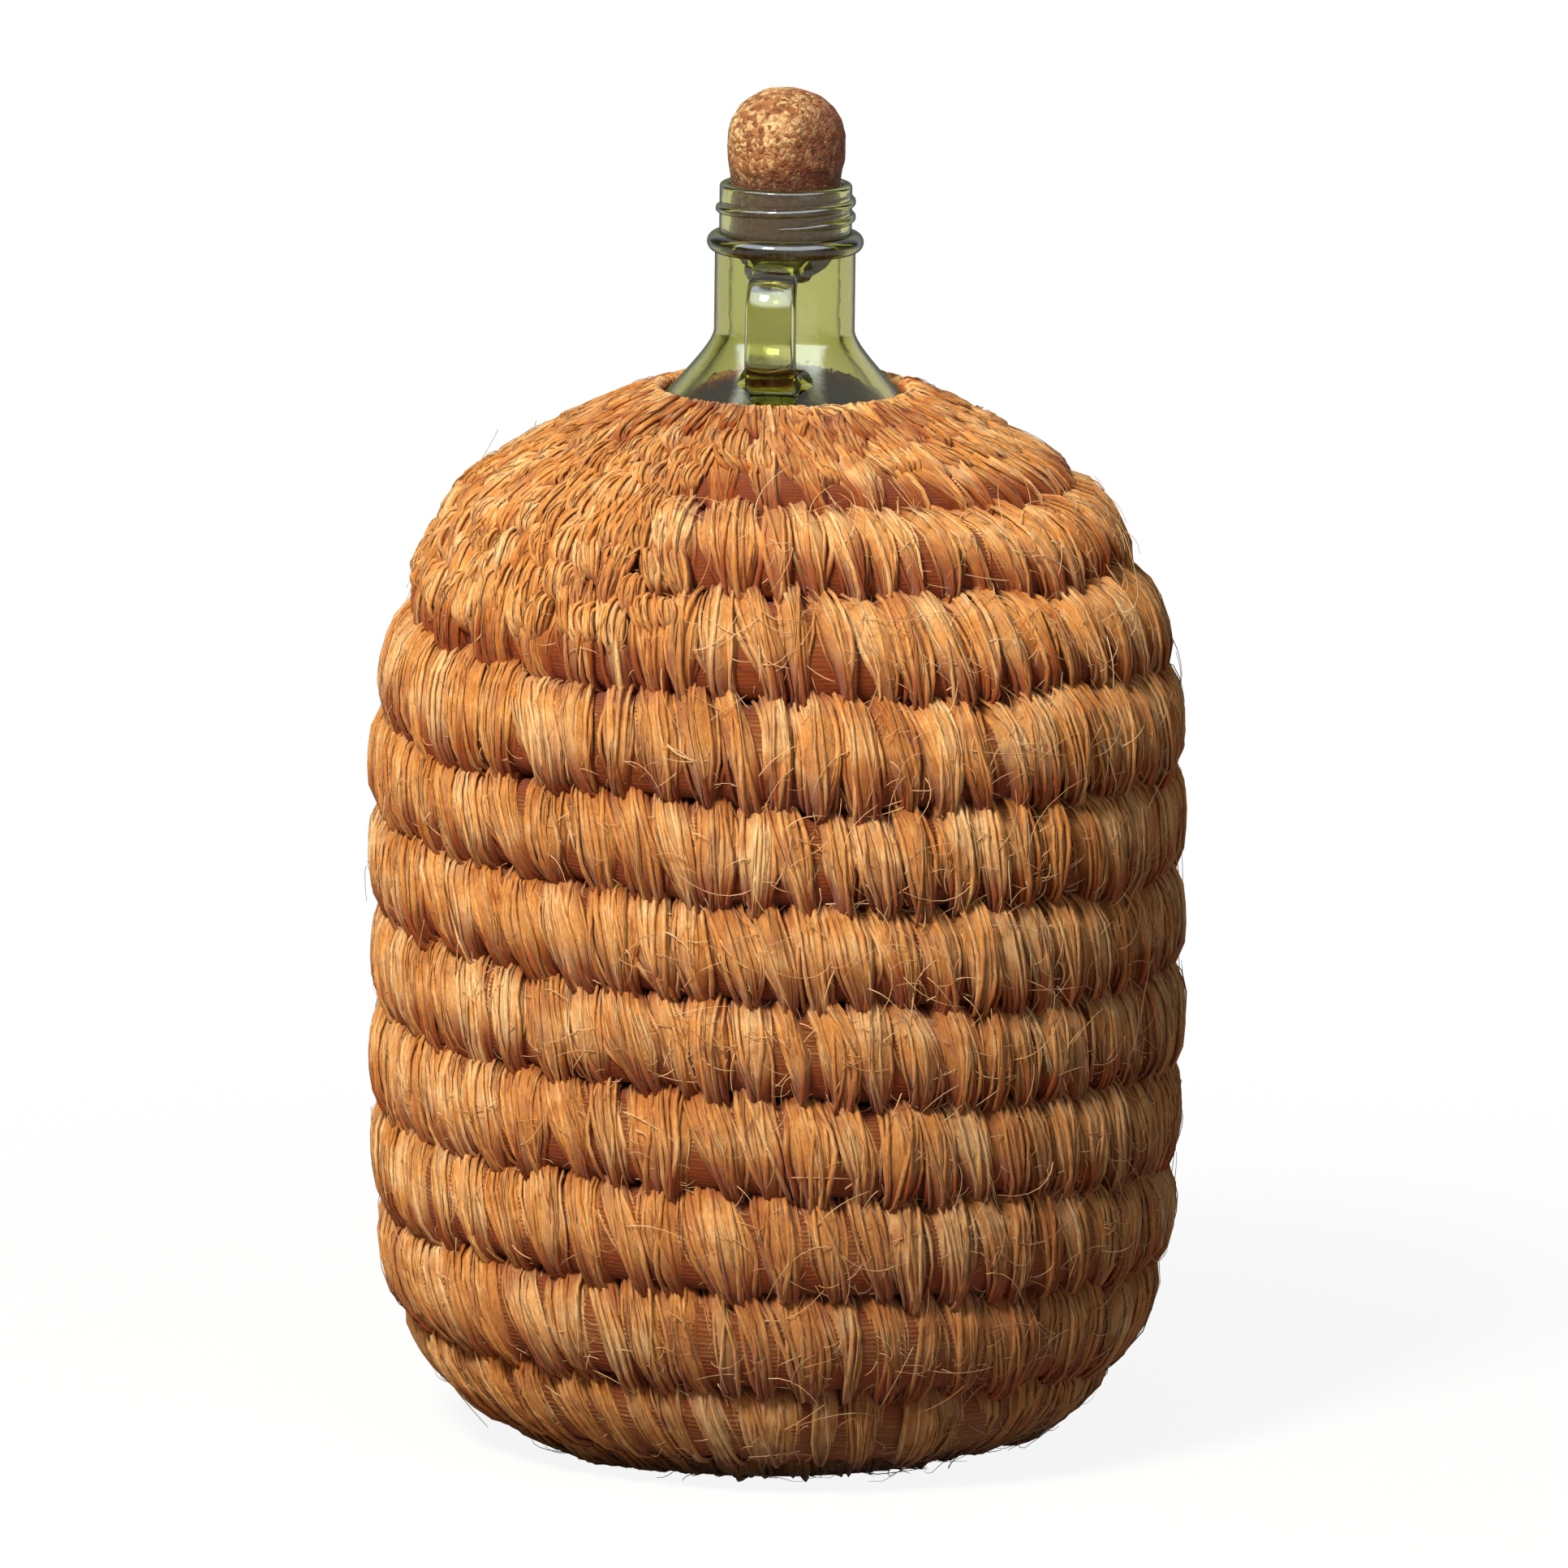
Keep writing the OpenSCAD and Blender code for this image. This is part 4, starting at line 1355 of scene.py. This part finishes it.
@dataclass
class CorkStopper:
    """The domed cork of pressed granules."""

    lip_height: float = 347.7 * MM
    head_radius: float = 16.35 * MM
    head_height: float = 26.5 * MM
    plug_radius: float = 15.1 * MM
    plug_length: float = 27 * MM
    grip_length: float = 14 * MM
    swell_height: float = 7.5 * MM
    dome_height: float = 14 * MM

    def _section(self) -> Outline:
        """Gives the cork's half section, from the plug's tip to the top."""
        grip = self.lip_height - self.grip_length
        tip = arc((0.0, grip), (self.plug_radius, self.plug_length - self.grip_length), -90, 0, 13)
        swell = [(self.plug_radius + (self.head_radius - self.plug_radius) * (1 - math.cos(math.pi * t)) / 2,
                  self.lip_height + self.swell_height * t) for t in np.linspace(0, 1, 5)]
        dome = arc((0.0, self.lip_height + self.head_height - self.dome_height),
                   (self.head_radius, self.dome_height), 0, 90, 17)
        straight = [(self.plug_radius, self.lip_height - self.grip_length * (1 - t)) for t in (0.3, 0.6)]
        return tip + straight + swell + dome

    def build(self) -> list[bpy.types.Object]:
        """Makes the cork, roughens its skin and sets it on its body.

        Returns:
            The piece.
        """
        piece = lathe("cork", self._section(), 144)
        finer = piece.modifiers.new("finer", "SUBSURF")
        finer.levels = finer.render_levels = 1
        for name, kind, scale, strength in (("lean", "CLOUDS", 16 * MM, 1.1 * MM), ("granules", "VORONOI", 3 * MM, 0.55 * MM)):
            pattern = bpy.data.textures.new(name, kind)
            pattern.noise_scale = scale
            dent = piece.modifiers.new(name, "DISPLACE")
            dent.texture = pattern
            dent.texture_coords = "LOCAL"
            dent.mid_level = 0.5 if kind == "CLOUDS" else 1.0
            dent.strength = strength
        for name in ("finer", "lean", "granules"):
            bpy.ops.object.modifier_apply(modifier=name)
        bpy.ops.object.shade_smooth()
        piece.data.materials.append(CorkFinish(self.lip_height).material())
        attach(piece, Body.CORK.value)
        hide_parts("cork_stopper")
        return [piece]


@dataclass
class Studio:
    """The floor, the lamps, the white surroundings and the camera at the photograph's angle."""

    photo_size: float = 1932.0
    scale: float = 4495.0
    distance: float = 5.0
    azimuth: float = math.radians(5.7)
    elevation: float = math.radians(10.5)
    roll: float = math.radians(0.695)
    target: tuple[float, float, float] = (0.0, 0.0, 0.18)
    middle: tuple[float, float] = (959.5, 970.5)
    ambient: float = 0.18
    ceiling: float = 9.0

    def camera(self) -> None:
        """Places the camera where the photograph was taken from."""
        data = bpy.data.cameras.new("camera")
        data.sensor_width = 36.0
        data.lens = self.scale * self.distance / self.photo_size * data.sensor_width
        data.clip_start = 0.1
        data.clip_end = 100.0
        data.shift_x = (self.photo_size / 2 - self.middle[0]) / self.photo_size
        data.shift_y = (self.middle[1] - self.photo_size / 2) / self.photo_size
        made = bpy.data.objects.new("camera", data)
        bpy.context.scene.collection.objects.link(made)
        level = self.distance * math.cos(self.elevation)
        away = Vector((level * math.sin(self.azimuth), -level * math.cos(self.azimuth),
                       self.distance * math.sin(self.elevation)))
        made.location = Vector(self.target) + away
        facing = (-away).to_track_quat("-Z", "Y").to_matrix()
        made.rotation_euler = (facing @ Matrix.Rotation(self.roll, 3, "Z")).to_euler()
        bpy.context.scene.camera = made

    def surroundings(self) -> None:
        """Lights the jug evenly, shows white to the camera, and darkens the sides in reflections and through glass."""
        s = Shader.world("surroundings")
        bent = s.node("ShaderNodeLightPath", out="Is Glossy Ray") + s.node("ShaderNodeLightPath", out="Is Transmission Ray")
        bent = bent.band(0, 1)
        seen = (s.node("ShaderNodeLightPath", out="Is Camera Ray") + bent).band(0, 1)
        across, ahead, up = s.split(s.node("ShaderNodeTexCoord", out="Generated"))
        side = (across * across).band(0.2, 0.6) * up.band(1.0, 0.3)
        panel = s.node("ShaderNodeLightPath", out="Is Glossy Ray") * up.band(0.3, 0.5) * up.band(0.93, 0.85) * ahead.band(0.0, -0.2)
        strength = seen * (1 - self.ambient) + self.ambient + panel * self.ceiling
        colour = s.mix(bent * side, (1.0, 1.0, 1.0), (0.2, 0.22, 0.11))
        colour = s.mix(panel, colour, (0.78, 0.9, 1.0))
        bpy.context.scene.world = s.finish(s.node("ShaderNodeBackground", None, Color=colour, Strength=strength))

    def floor(self) -> None:
        """Lays the pale floor, which keeps the jug's shadow and fades to white around it."""
        bpy.ops.object.select_all(action="DESELECT")
        bpy.ops.mesh.primitive_plane_add(size=30, location=(0, 0, 0))
        made = bpy.context.object
        made.name = "floor"
        s = Shader.material("pale_floor")
        bounced = s.node("ShaderNodeLightPath", out="Is Diffuse Ray")
        shade = s.mix(bounced, (0.9, 0.9, 0.9), (0.34, 0.31, 0.27))
        lit = s.principled(Base_Color=shade, Roughness=0.9, Specular_IOR_Level=0.0)
        glow = s.node("ShaderNodeEmission", None, Color=(1.0, 1.0, 1.0), Strength=1.0)
        seen = s.node("ShaderNodeLightPath", out="Is Camera Ray") + s.node("ShaderNodeLightPath", out="Is Glossy Ray")
        seen = (seen + s.node("ShaderNodeLightPath", out="Is Transmission Ray")).band(0, 1)
        away = s.node("ShaderNodeVectorMath", {"operation": "LENGTH"}, s.place(), out="Value")
        share = seen * (away.band(0.15, 0.6) * 0.1 + 0.9)
        made.data.materials.append(s.finish(s.node("ShaderNodeMixShader", None, share, lit, glow)))

    def lamp(self, name: str, place: tuple[float, float, float], size: float, power: float, colour: Colour) -> None:
        """Hangs an area lamp that faces the jug.

        Args:
            name: The lamp's name.
            place: Where it hangs.
            size: The side of its square.
            power: Its power in watts.
            colour: Its colour.
        """
        data = bpy.data.lights.new(name, "AREA")
        data.energy = power
        data.size = size
        data.color = colour
        made = bpy.data.objects.new(name, data)
        bpy.context.scene.collection.objects.link(made)
        made.location = place
        made.rotation_euler = (Vector(self.target) - made.location).to_track_quat("-Z", "Y").to_euler()

    def build(self) -> None:
        """Sets up the studio."""
        self.camera()
        self.surroundings()
        self.floor()
        self.lamp("key", (-0.6, -1.38, 1.68), 0.45, 63.0, (1.0, 0.95, 0.87))
        self.lamp("sky", (0.1, -0.75, 1.75), 0.5, 2.5, (0.86, 0.93, 1.0))
        self.lamp("fill", (1.6, -1.6, 0.8), 1.4, 4.0, (0.95, 0.97, 1.0))
        bpy.context.scene.view_settings.view_transform = "Standard"


def main() -> None:
    """Builds the studio and the jug, and reports each piece."""
    logging.basicConfig(level=logging.INFO, format="%(name)s: %(message)s")
    Studio().build()
    for part in (GlassJug(), CorkStopper(), RopeJacket()):
        for piece in part.build():
            piece.data.calc_loop_triangles()
            LOG.info("%s: %d triangles", piece.name, len(piece.data.loop_triangles))


if __name__ == "__main__":
    main()
